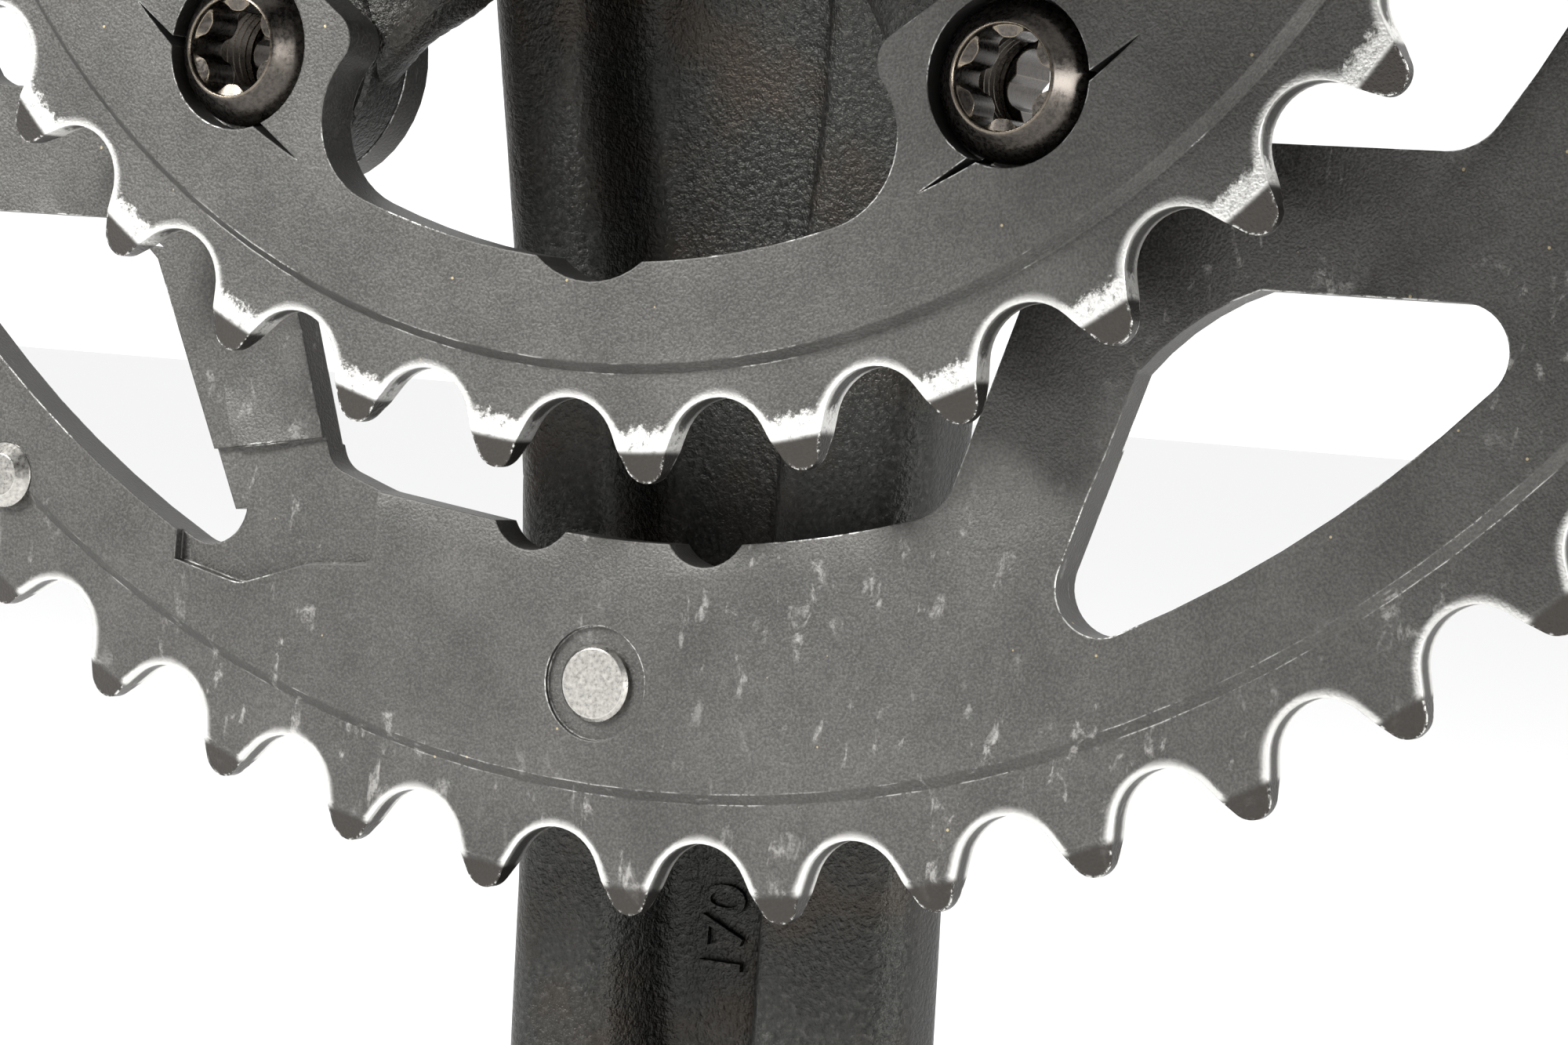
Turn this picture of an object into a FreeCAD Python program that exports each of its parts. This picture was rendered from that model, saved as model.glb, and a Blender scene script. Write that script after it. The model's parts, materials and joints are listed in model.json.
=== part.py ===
import FreeCAD, Part
import math
import os
import re
import Sketcher

# A two-piece road bicycle crankset with its external bottom bracket.
# Millimetres. The spindle turns about Y and the drive side faces -Y; X is forward and Z is up.
# The origin is the middle of the frame's bottom-bracket shell, on the spindle axis.
# The right arm hangs down (-Z) and the left arm stands up (+Z).
# Drive-side pieces are laid out in "depth", the distance outboard from the origin, along -Y.

SIZES = {
    # bottom-bracket shell and cups
    "shell_half": 34,
    "thread_length": 10,
    "cup_rim": 3,
    "cup_mouth": 0.4,
    "tool_notches": 16,
    "notch_radius": 1.6,
    # cartridge ball bearings
    "bearing_section": 6,
    "bearing_width": 7,
    "bearing_set_back": 2.8,
    "race_wall": 1.7,
    "ball_radius": 1.75,
    "ball_count": 17,
    "ball_play": 0.07,
    "seal_thickness": 0.8,
    "seal_gap": 0.2,
    "cage_half_wall": 0.55,
    "cage_half_width": 2.3,
    "cage_play": 0.15,
    # plastic sleeve between the cups, with its rings
    "cup_thread_wall": 1.2,
    "tube_wall": 1.4,
    "tube_half": 30,
    "ring_half": 0.55,
    # spindle, dust sleeves, preload cap
    "spindle_radius": 12,
    "spindle_wall": 2.4,
    "sleeve_wall": 0.5,
    "dust_lip": 1.5,
    "running_gap": 0.3,
    "cap_overhang": 1.4,
    "cap_flange": 2.6,
    "cap_plug": 9,
    "plug_skirt": 6,
    # arms
    "arm_length": 170,
    "hub_wall": 11,
    "hub_width": 18,
    "root_half_width": 20.5,
    "mid_half_width": 17.3,
    "end_half_width": 17,
    "root_set_out": 6.4,
    "mid_set_out": 10.8,
    "low_set_out": 14.8,
    "end_set_out": 16.3,
    "eye_thickness": 12,
    "face_rounding": 4.2,
    "back_rounding": 3.2,
    "channel_half_width": 7.2,
    "channel_depth": 6.4,
    "pedal_thread_radius": 7.144,
    # spider
    "bolt_circle": 55,
    "bolt_count": 5,
    "spider_half_width": 9,
    "tab_radius": 9.5,
    "tab_seat_gap": 0.4,
    # chainrings, both of half-inch pitch
    "chain_pitch": 12.7,
    "roller_seat": 4.12,
    "flank_slope": 27,
    "small_teeth": 36,
    "large_teeth": 52,
    "small_set_in": 7.65,
    "ring_spacing": 8,
    "tooth_thickness": 2.2,
    "small_inner": 58.8,
    "small_step": 66.65,
    "small_proud": 0.9,
    "small_body": 4,
    "small_tooth_height": 1.85,
    "small_tab_reach": 7.6,
    "small_tab_half": 8.1,
    "small_tab_fillet": 6.5,
    "large_inner": 79.1,
    "ridge_radius": 81.8,
    "large_step": 98.2,
    "large_proud": 0.4,
    "large_body": 2.9,
    "large_tooth_height": 1.75,
    "strut_width": 10.1,
    "strut_thickness": 2.6,
    "strut_cover": 13.104,
    "strut_flare": 4.5,
    "window_blunt": 74.4,
    "window_blunt_half": 5.4,
    "window_outer": 91.4,
    "window_corner": 3.4,
    "lift_pocket_depth": 0.5,
    # chainring bolts and pins
    "nut_sleeve_radius": 5,
    "hole_play": 0.1,
    "nut_head_radius": 5.8,
    "nut_bore_radius": 3.6,
    "screw_radius": 3.5,
    "screw_reach": 3.4,
    "screw_head_radius": 6,
    "drop_pin_circle": 89.9,
    "drop_pin_radius": 2.6,
    "shift_pin_circle": 98,
    "shift_pin_radius": 2.6,
    # left arm clamp
    "clamp_wall": 9.5,
    "clamp_width": 20,
    "clamp_slot": 2.4,
    "clamp_drop": 28,
    "clamp_half_width": 11.5,
    "pinch_wall": 9,
    "pinch_radius": 3,
    "pinch_head_radius": 4.9,
    "stopper_thickness": 1.8,
}

# What follows from the sizes above, as formulas that features are bound to.
FORMULAS = {
    "bearing_bore": "spindle_radius + sleeve_wall",
    "bearing_outer": "bearing_bore + bearing_section",
    "tube_radius": "bearing_outer - 2.3",
    "thread_radius": "tube_radius + cup_thread_wall",
    "flange_radius": "bearing_outer + cup_rim",
    "cup_end": "bearing_end + cup_mouth",
    "bearing_end": "shell_half + bearing_width + bearing_set_back",
    "bearing_start": "shell_half + bearing_set_back",
    "bearing_middle": "shell_half + bearing_set_back + bearing_width / 2",
    "ball_circle": "(bearing_bore + bearing_outer) / 2",
    "inner_race_top": "bearing_bore + race_wall",
    "outer_race_under": "bearing_outer - race_wall",
    "groove_radius": "ball_radius + ball_play",
    "lip_start": "cup_end + running_gap",
    "dust_lip_radius": "bearing_outer + 2",
    "arm_inner": "lip_start + dust_lip",
    "hub_radius": "spindle_radius + hub_wall",
    "hub_front": "arm_inner + hub_width",
    "root_back": "arm_inner + root_set_out",
    "mid_back": "arm_inner + mid_set_out",
    "low_back": "arm_inner + low_set_out",
    "end_back": "arm_inner + end_set_out",
    "end_front": "end_back + eye_thickness",
    "clamp_radius": "spindle_radius + clamp_wall",
    "clamp_inner": "arm_inner",
    "clamp_outer": "arm_inner + clamp_width",
    "pinch_drop": "spindle_radius + pinch_wall",
    "cap_radius": "spindle_radius + cap_overhang",
    "small_depth": "arm_inner - small_set_in",
    "small_tab_inner": "bolt_circle - small_tab_reach",
    "bolt_hole_radius": "nut_sleeve_radius + hole_play",
    "spindle_bore": "spindle_radius - spindle_wall",
    "small_face": "small_depth - small_proud",
    "small_back": "small_depth - small_proud + small_body",
    "large_face": "small_depth + ring_spacing",
    "large_back": "small_depth + ring_spacing + large_body",
    "nut_seat": "small_depth + 1.4",
    "nut_rim": "small_depth + 0.3",
    "nut_crown": "small_depth - 2.1",
    "screw_seat": "large_back - 1.6",
    "nut_end": "large_back - 1.9",
    "low_half_width": "end_half_width + 0.1",
    "mid_front": "hub_front + (end_front - hub_front) * 0.55",
    "low_front": "hub_front + (end_front - hub_front) * 0.86",
    "root_front": "hub_front + (end_front - hub_front) * 0.25",
}

doc = FreeCAD.newDocument("crankset")
sheet = doc.addObject("Spreadsheet::Sheet", "Sizes")
for row, (alias, number) in enumerate(SIZES.items(), start=1):
    sheet.set(f"A{row}", alias.replace("_", " "))
    sheet.set(f"B{row}", str(number))
    sheet.setAlias(f"B{row}", alias)
doc.recompute()

NODES = []


def linked(formula):
    """The formula with each size replaced by its cell in the sheet."""
    def cell(word):
        name = word.group()
        if name in SIZES:
            return "Sizes." + name
        if name in FORMULAS:
            return "(" + linked(FORMULAS[name]) + ")"
        return name
    return re.sub(r"[a-z][a-z_]*", cell, str(formula))


def size(formula):
    """What a formula comes to, in millimetres or as a count."""
    return float(sheet.evalExpression(linked(formula)))


def part_body(label):
    body = doc.addObject("PartDesign::Body", label)
    body.Label = label
    NODES.append(body)
    return body


def datum(body, role):
    for feature in body.Origin.OriginFeatures:
        if feature.Role == role:
            return feature
    raise ValueError(role)


def sketch_on(body, name, role, offset="0", centre=(0, 0), turn=0):
    """A sketch on an origin plane, moved along the plane's normal by a formula.

    On XZ_Plane the normal is -Y, so its offset is a depth; centre and turn place the
    sketch within the plane, in millimetres and degrees.
    """
    sketch = body.newObject("Sketcher::SketchObject", name)
    sketch.AttachmentSupport = (datum(body, role), [""])
    sketch.MapMode = "FlatFace"
    spot = FreeCAD.Vector(centre[0], centre[1], size(offset))
    sketch.AttachmentOffset = FreeCAD.Placement(spot, FreeCAD.Rotation(FreeCAD.Vector(0, 0, 1), turn))
    sketch.setExpression("AttachmentOffset.Base.z", linked(offset))
    return sketch


def pin_point(sketch, geometry, point, across, along):
    """Hold one point of a sketch at two formulas, measured from the sketch's origin."""
    for kind, formula in (("DistanceX", across), ("DistanceY", along)):
        rule = sketch.addConstraint(Sketcher.Constraint(kind, -1, 1, geometry, point, size(formula)))
        sketch.setExpression(f"Constraints[{rule}]", linked(formula))


def closed_profile(sketch, corners):
    """A closed outline of straight edges whose corners are pairs of formulas."""
    spots = [FreeCAD.Vector(size(across), size(along), 0) for across, along in corners]
    for start, end in zip(spots, spots[1:] + spots[:1]):
        sketch.addGeometry(Part.LineSegment(start, end))
    for index, (across, along) in enumerate(corners):
        before = (index - 1) % len(corners)
        sketch.addConstraint(Sketcher.Constraint("Coincident", before, 2, index, 1))
        pin_point(sketch, index, 1, across, along)


def circle_in(sketch, radius, across="0", along="0"):
    spot = FreeCAD.Vector(size(across), size(along), 0)
    circle = sketch.addGeometry(Part.Circle(spot, FreeCAD.Vector(0, 0, 1), size(radius)))
    pin_point(sketch, circle, 3, across, along)
    rule = sketch.addConstraint(Sketcher.Constraint("Radius", circle, size(radius)))
    sketch.setExpression(f"Constraints[{rule}]", linked(radius))


def outline_in(sketch, edges):
    """An outline worked out from the sizes, as a chain of lines and arcs that close."""
    sketch.addGeometry(edges)
    for index in range(len(edges)):
        before = (index - 1) % len(edges)
        joints = [(one, other) for one in (1, 2) for other in (1, 2)]
        one, other = min(joints, key=lambda pair: sketch.getPoint(before, pair[0]).distanceToPoint(
            sketch.getPoint(index, pair[1])))
        sketch.addConstraint(Sketcher.Constraint("Coincident", before, one, index, other))


def spin(body, name, sketch, cut=False):
    """Turn a profile right round its own vertical axis, as a solid or as a groove."""
    kind = "PartDesign::Groove" if cut else "PartDesign::Revolution"
    feature = body.newObject(kind, name)
    feature.Profile = sketch
    feature.ReferenceAxis = (sketch, ["V_Axis"])
    feature.Angle = 360
    feature.Refine = False
    return feature


def turned(body, name, corners, side=1, cut=False):
    """A turned shape from (radius, distance from the origin) pairs; side -1 is the drive side."""
    sign = "" if side > 0 else "-"
    flipped = [(radius, f"{sign}({along})") for radius, along in corners]
    sketch = body.newObject("Sketcher::SketchObject", name + "_profile")
    sketch.AttachmentSupport = (datum(body, "XY_Plane"), [""])
    sketch.MapMode = "FlatFace"
    closed_profile(sketch, flipped)
    return spin(body, name, sketch, cut)


def pad(body, name, sketch, length, cut=False, back=False):
    kind = "PartDesign::Pocket" if cut else "PartDesign::Pad"
    feature = body.newObject(kind, name)
    feature.Profile = sketch
    feature.setExpression("Length", linked(length))
    feature.Reversed = back
    feature.Refine = False
    return feature


def round_the_axis(body, name, features, count):
    """Repeat features evenly about the spindle axis."""
    doc.recompute()
    pattern = body.newObject("PartDesign::PolarPattern", name)
    pattern.Originals = features
    pattern.Axis = (datum(body, "Y_Axis"), [""])
    pattern.Angle = 360
    pattern.setExpression("Occurrences", linked(count))
    pattern.Refine = False
    body.Tip = pattern
    doc.recompute()
    return pattern


def at_angle(radius, degrees):
    """A point in the XZ plane; -90 degrees is straight down."""
    turn = math.radians(degrees)
    return FreeCAD.Vector(radius * math.cos(turn), radius * math.sin(turn), 0)


def rounded(corners, radii):
    """A closed outline through corners with each one rounded; a radius of 0 keeps it sharp."""
    ends = []
    for index, corner in enumerate(corners):
        before = (corners[index - 1] - corner).normalize()
        after = (corners[(index + 1) % len(corners)] - corner).normalize()
        half_turn = before.getAngle(after) / 2
        reach = radii[index] / math.tan(half_turn)
        bisector = (before + after).normalize()
        bulge = corner + bisector * (radii[index] / math.sin(half_turn) - radii[index])
        ends.append((corner + before * reach, bulge, corner + after * reach))
    edges = []
    for index, (start, bulge, end) in enumerate(ends):
        if radii[index] > 0:
            edges.append(Part.Arc(start, bulge, end))
        edges.append(Part.LineSegment(end, ends[(index + 1) % len(ends)][0]))
    return edges


# The first bolt is to the forward side of the right arm; the arm hangs midway between two bolts.
FIRST_BOLT = -90 + 180 / size("bolt_count")
BOLT_STEP = 360 / size("bolt_count")
BOLT_SPOT = at_angle(size("bolt_circle"), FIRST_BOLT)
BOLT_CENTRE = (BOLT_SPOT.x, BOLT_SPOT.y)


# ---- bottom bracket -----------------------------------------------------------------------

def cup(label, side):
    """A threaded cup whose outer end holds a cartridge bearing outside the frame."""
    body = part_body(label)
    turned(body, "shell", [
        ("thread_radius", "shell_half - thread_length"),
        ("thread_radius", "shell_half"),
        ("flange_radius", "shell_half"),
        ("flange_radius", "cup_end - 0.8"),
        ("flange_radius - 0.8", "cup_end"),
        ("bearing_outer", "cup_end"),
        ("bearing_outer", "bearing_start"),
        ("tube_radius - 0.8", "bearing_start"),
        ("tube_radius - 0.8", "tube_half"),
        ("tube_radius", "tube_half"),
        ("tube_radius", "shell_half - thread_length"),
    ], side)
    offset = "-cup_end" if side > 0 else "shell_half + 2"
    notch = sketch_on(body, "notch_outline", "XZ_Plane", offset)
    circle_in(notch, "notch_radius", "flange_radius + notch_radius * 0.25")
    cut = pad(body, "notch", notch, "cup_end - shell_half - 2", cut=True, back=True)
    round_the_axis(body, "notches", [cut], "tool_notches")


def outer_race(label, side):
    body = part_body(label)
    turned(body, "ring", [
        ("outer_race_under", "bearing_start"),
        ("bearing_outer", "bearing_start"),
        ("bearing_outer", "bearing_end"),
        ("outer_race_under", "bearing_end"),
    ], side)
    ball_track(body, side)


def inner_race(label, side):
    body = part_body(label)
    turned(body, "ring", [
        ("bearing_bore", "bearing_start"),
        ("inner_race_top", "bearing_start"),
        ("inner_race_top", "bearing_end"),
        ("bearing_bore", "bearing_end"),
    ], side)
    ball_track(body, side)


def ball_track(body, side):
    """The round groove that the balls run in, a little larger than they are."""
    sketch = body.newObject("Sketcher::SketchObject", "track_circle")
    sketch.AttachmentSupport = (datum(body, "XY_Plane"), [""])
    sketch.MapMode = "FlatFace"
    sign = "" if side > 0 else "-"
    circle_in(sketch, "groove_radius", "ball_circle", f"{sign}(bearing_middle)")
    spin(body, "track", sketch, cut=True)


def ball_set(label, side):
    """The balls of one bearing, evenly spaced."""
    balls = []
    for index in range(int(size("ball_count"))):
        turn = 360 * index / size("ball_count")
        ball = doc.addObject("Part::Sphere", f"{label}_{index + 1}")
        ball.setExpression("Radius", linked("ball_radius"))
        spot = at_angle(size("ball_circle"), turn)
        ball.Placement.Base = FreeCAD.Vector(spot.x, side * size("bearing_middle"), spot.y)
        balls.append(ball)
    group = doc.addObject("Part::Compound", label)
    group.Links = balls
    group.Label = label
    NODES.append(group)


def cage(label, side):
    """The thin ring that keeps the balls apart, bored across for each one."""
    body = part_body(label)
    turned(body, "band", [
        ("ball_circle - cage_half_wall", "bearing_middle - cage_half_width"),
        ("ball_circle + cage_half_wall", "bearing_middle - cage_half_width"),
        ("ball_circle + cage_half_wall", "bearing_middle + cage_half_width"),
        ("ball_circle - cage_half_wall", "bearing_middle + cage_half_width"),
    ], side)
    sketch = sketch_on(body, "pocket_circle", "YZ_Plane", "ball_circle - 3")
    circle_in(sketch, "ball_radius + cage_play", f"{side} * (bearing_middle)")
    pocket = pad(body, "ball_pocket", sketch, "6", cut=True, back=True)
    round_the_axis(body, "ball_pockets", [pocket], "ball_count")


def seals(label, side):
    """The two rubber seals of one bearing, pressed into its outer race."""
    body = part_body(label)
    for name, start in (("inboard", "bearing_start"), ("outboard", "bearing_end - seal_thickness")):
        turned(body, name, [
            ("inner_race_top + seal_gap", start),
            ("outer_race_under", start),
            ("outer_race_under", f"{start} + seal_thickness"),
            ("inner_race_top + seal_gap", f"{start} + seal_thickness"),
        ], side)


def dust_sleeve(label, side):
    """A plastic sleeve between spindle and bearing, with a lip that shields the cup's mouth."""
    body = part_body(label)
    turned(body, "sleeve", [
        ("spindle_radius", "bearing_start"),
        ("bearing_bore", "bearing_start"),
        ("bearing_bore", "bearing_end"),
        ("inner_race_top - 0.2", "bearing_end"),
        ("inner_race_top - 0.2", "lip_start"),
        ("dust_lip_radius", "lip_start"),
        ("dust_lip_radius", "arm_inner - 0.5"),
        ("dust_lip_radius - 0.5", "arm_inner"),
        ("spindle_radius", "arm_inner"),
    ], side)


def centre_tube():
    """The plastic tube between the cups, with a groove near each end for a sealing ring."""
    body = part_body("inner_sleeve")
    wall = "tube_radius - tube_wall"
    floor = "tube_radius - ring_half * 2"
    near = "tube_half - 3 + ring_half"
    far = "tube_half - 3 - ring_half"
    turned(body, "tube", [
        (wall, "-tube_half"), ("tube_radius", "-tube_half"),
        ("tube_radius", f"-({near})"), (floor, f"-({near})"),
        (floor, f"-({far})"), ("tube_radius", f"-({far})"),
        ("tube_radius", far), (floor, far),
        (floor, near), ("tube_radius", near),
        ("tube_radius", "tube_half"), (wall, "tube_half"),
    ])


def sealing_rings():
    rings = []
    for name, side in (("right", -1), ("left", 1)):
        ring = doc.addObject("Part::Torus", f"{name}_sealing_ring")
        ring.setExpression("Radius1", linked("tube_radius - ring_half"))
        ring.setExpression("Radius2", linked("ring_half"))
        middle = FreeCAD.Vector(0, side * (size("tube_half") - 3), 0)
        ring.Placement = FreeCAD.Placement(middle, FreeCAD.Rotation(FreeCAD.Vector(1, 0, 0), 90))
        rings.append(ring)
    group = doc.addObject("Part::Compound", "sleeve_rings")
    group.Links = rings
    group.Label = "sleeve_rings"
    NODES.append(group)


# ---- spindle and left arm's small pieces --------------------------------------------------

def spindle():
    """The hollow steel spindle, with a chamfer at each end."""
    body = part_body("spindle")
    turned(body, "tube", [
        ("spindle_bore", "-(hub_front - 3)"),
        ("spindle_radius - 0.8", "-(hub_front - 3)"),
        ("spindle_radius", "-(hub_front - 3.8)"),
        ("spindle_radius", "clamp_outer - 4.8"),
        ("spindle_radius - 0.8", "clamp_outer - 4"),
        ("spindle_bore", "clamp_outer - 4"),
    ])


def end_plug():
    """The cap that closes the spindle's bore on the drive side."""
    body = part_body("spindle_plug")
    turned(body, "disc", [
        ("0", "hub_front - 3"),
        ("0", "hub_front - 1.2"),
        ("spindle_radius - 2.6", "hub_front - 1.2"),
        ("spindle_radius - 1.6", "hub_front - 1.8"),
        ("spindle_radius - 1.6", "hub_front - 3"),
    ], -1)
    turned(body, "skirt", [
        ("spindle_bore - 1.6", "hub_front - 3 - plug_skirt"),
        ("spindle_bore", "hub_front - 3 - plug_skirt"),
        ("spindle_bore", "hub_front - 3"),
        ("spindle_bore - 1.6", "hub_front - 3"),
    ], -1)


def preload_cap():
    """The plastic cap that screws into the spindle and sets the bearings' play."""
    body = part_body("preload_cap")
    turned(body, "flange", [
        ("0", "clamp_outer - 2"),
        ("cap_radius", "clamp_outer - 2"),
        ("cap_radius", "clamp_outer - 2 + cap_flange - 0.8"),
        ("cap_radius - 0.8", "clamp_outer - 2 + cap_flange"),
        ("cap_radius - 6", "clamp_outer - 2 + cap_flange"),
        ("cap_radius - 6.8", "clamp_outer - 1"),
        ("0", "clamp_outer - 1"),
    ])
    turned(body, "plug", [
        ("spindle_bore - 1.8", "clamp_outer - 2 - cap_plug"),
        ("spindle_bore", "clamp_outer - 2 - cap_plug"),
        ("spindle_bore", "clamp_outer - 2"),
        ("spindle_bore - 1.8", "clamp_outer - 2"),
    ])
    flute = sketch_on(body, "flute_outline", "XZ_Plane", "-(clamp_outer - 2 + cap_flange)")
    circle_in(flute, "1.7", "cap_radius - 6")
    cut = pad(body, "flute", flute, "cap_flange - 1", cut=True, back=True)
    round_the_axis(body, "flutes", [cut], "8")


# ---- arms ---------------------------------------------------------------------------------

ARM_STATIONS = [
    # share of the arm's length, half width, back face, front face
    ("0", "hub_radius - 1.5", "arm_inner + 2", "hub_front"),
    ("0.224", "root_half_width", "root_back", "root_front"),
    ("0.441", "mid_half_width", "mid_back", "mid_front"),
    ("0.7", "low_half_width", "low_back", "low_front"),
    ("0.985", "end_half_width - 0.3", "end_back + 0.1", "end_front - 0.1"),
]


def section(body, name, share, up, side, half_width, back, front, corners):
    """One cross-section of an arm: a box with rounded corners, square to the arm."""
    height = f"{up} * arm_length * {share}"
    sketch = sketch_on(body, name, "XY_Plane", height)
    half = -side * size(half_width)
    near = side * size(back)
    far = side * size(front)
    spots = [
        FreeCAD.Vector(-half, near, 0),
        FreeCAD.Vector(half, near, 0),
        FreeCAD.Vector(half, far, 0),
        FreeCAD.Vector(-half, far, 0),
    ]
    outline_in(sketch, rounded(spots, corners))
    return sketch


def loft(body, name, sketches, cut=False):
    kind = "PartDesign::SubtractiveLoft" if cut else "PartDesign::AdditiveLoft"
    feature = body.newObject(kind, name)
    feature.Profile = sketches[0]
    feature.Sections = sketches[1:]
    feature.Ruled = True
    feature.Refine = False
    return feature


def arm_blade(body, up, side):
    """The tapering forged blade from hub to pedal eye."""
    back = size("back_rounding")
    face = size("face_rounding")
    sketches = []
    for index, (share, half_width, inner, outer) in enumerate(ARM_STATIONS):
        sketches.append(section(body, f"blade_{index}", share, up, side, half_width, inner, outer,
                                [back, back, face, face]))
    loft(body, "blade", sketches)


def pedal_eye(body, up, side):
    """The round end of the arm, with the pedal's threaded hole and a spot face on both sides."""
    sign = "" if side > 0 else "-"
    sketch = body.newObject("Sketcher::SketchObject", "eye_profile")
    sketch.AttachmentSupport = (datum(body, "XY_Plane"), [""])
    sketch.MapMode = "FlatFace"
    sketch.setExpression("AttachmentOffset.Base.z", linked(f"{up} * arm_length"))
    closed_profile(sketch, [
        ("0", f"{sign}(end_back)"),
        ("end_half_width - 2", f"{sign}(end_back)"),
        ("end_half_width", f"{sign}(end_back + 2)"),
        ("end_half_width", f"{sign}(end_front - 3.2)"),
        ("end_half_width - 1", f"{sign}(end_front - 1.3)"),
        ("end_half_width - 3.4", f"{sign}(end_front)"),
        ("0", f"{sign}(end_front)"),
    ])
    spin(body, "eye", sketch)


def pedal_hole(body, up, side):
    """The plain bore for the pedal's thread, through the eye."""
    start = "end_back - 1" if side < 0 else "-(end_front + 1)"
    sketch = sketch_on(body, "pedal_hole_circle", "XZ_Plane", start)
    circle_in(sketch, "pedal_thread_radius", "0", f"{up} * arm_length")
    pad(body, "pedal_hole", sketch, "eye_thickness + 2", cut=True, back=True)


def right_arm():
    """The drive-side arm with its five-legged spider; ribs stand along both edges of its back."""
    body = part_body("right_crank_arm")
    turned(body, "hub", [
        ("0", "arm_inner"),
        ("hub_radius - 2", "arm_inner"),
        ("hub_radius", "arm_inner + 2"),
        ("hub_radius", "hub_front - 3.5"),
        ("hub_radius - 1", "hub_front - 1.4"),
        ("hub_radius - 3.4", "hub_front"),
        ("0", "hub_front"),
    ], -1)
    arm_blade(body, -1, -1)
    pedal_eye(body, -1, -1)
    legs = spider_leg(body)
    round_the_axis(body, "spider", legs, "bolt_count")
    channel = []
    for index, (share, half, floor) in enumerate([
        ("0.2", "channel_half_width + 0.8", "root_back - 0.6 + channel_depth"),
        ("0.441", "channel_half_width", "mid_back + channel_depth"),
        ("0.7", "channel_half_width", "low_back + channel_depth"),
        ("0.86", "channel_half_width - 0.6", "low_back + 0.8 + channel_depth"),
    ]):
        channel.append(section(body, f"channel_{index}", share, -1, -1, half, "root_back - 12", floor,
                               [1, 1, 3, 3]))
    loft(body, "channel", channel, cut=True)
    holes = sketch_on(body, "bolt_hole_circle", "XZ_Plane", "small_back - 3", BOLT_CENTRE)
    circle_in(holes, "bolt_hole_radius")
    hole = pad(body, "bolt_hole", holes, "ring_spacing + 4", cut=True, back=True)
    round_the_axis(body, "bolt_holes", [hole], "bolt_count")
    turned(body, "spindle_bore", [
        ("0", "arm_inner - 1"),
        ("spindle_radius", "arm_inner - 1"),
        ("spindle_radius", "hub_front + 1"),
        ("0", "hub_front + 1"),
    ], -1, cut=True)
    pedal_hole(body, -1, -1)


def spider_leg(body):
    """One leg of the spider: a sloping bar and the round seat that both rings clamp on."""
    side_view = sketch_on(body, "leg_side", "XY_Plane")
    shoulder = "bolt_circle - tab_radius - tab_seat_gap"
    closed_profile(side_view, [
        ("hub_radius - 8", "-(arm_inner + 0.6)"),
        ("hub_radius + 1", "-(arm_inner + 0.6)"),
        ("bolt_circle - 11", "-(small_back)"),
        ("bolt_circle", "-(small_back)"),
        ("bolt_circle", "-(large_face)"),
        (shoulder, "-(large_face)"),
        (shoulder, "-(large_face + 1.6)"),
        ("hub_radius - 2", "-(hub_front - 5)"),
        ("hub_radius - 8", "-(hub_front - 5)"),
    ])
    turn = FreeCAD.Rotation(FreeCAD.Vector(0, 1, 0), -FIRST_BOLT)
    side_view.AttachmentOffset = FreeCAD.Placement(FreeCAD.Vector(0, 0, 0), turn)
    bar = body.newObject("PartDesign::Pad", "leg_bar")
    bar.Profile = side_view
    bar.Midplane = True
    bar.Refine = False
    bar.setExpression("Length", linked("spider_half_width * 2"))
    seat = sketch_on(body, "seat_circle", "XZ_Plane", "small_back", BOLT_CENTRE)
    circle_in(seat, "tab_radius")
    disc = pad(body, "seat", seat, "large_face - small_back")
    return [bar, disc]


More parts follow.
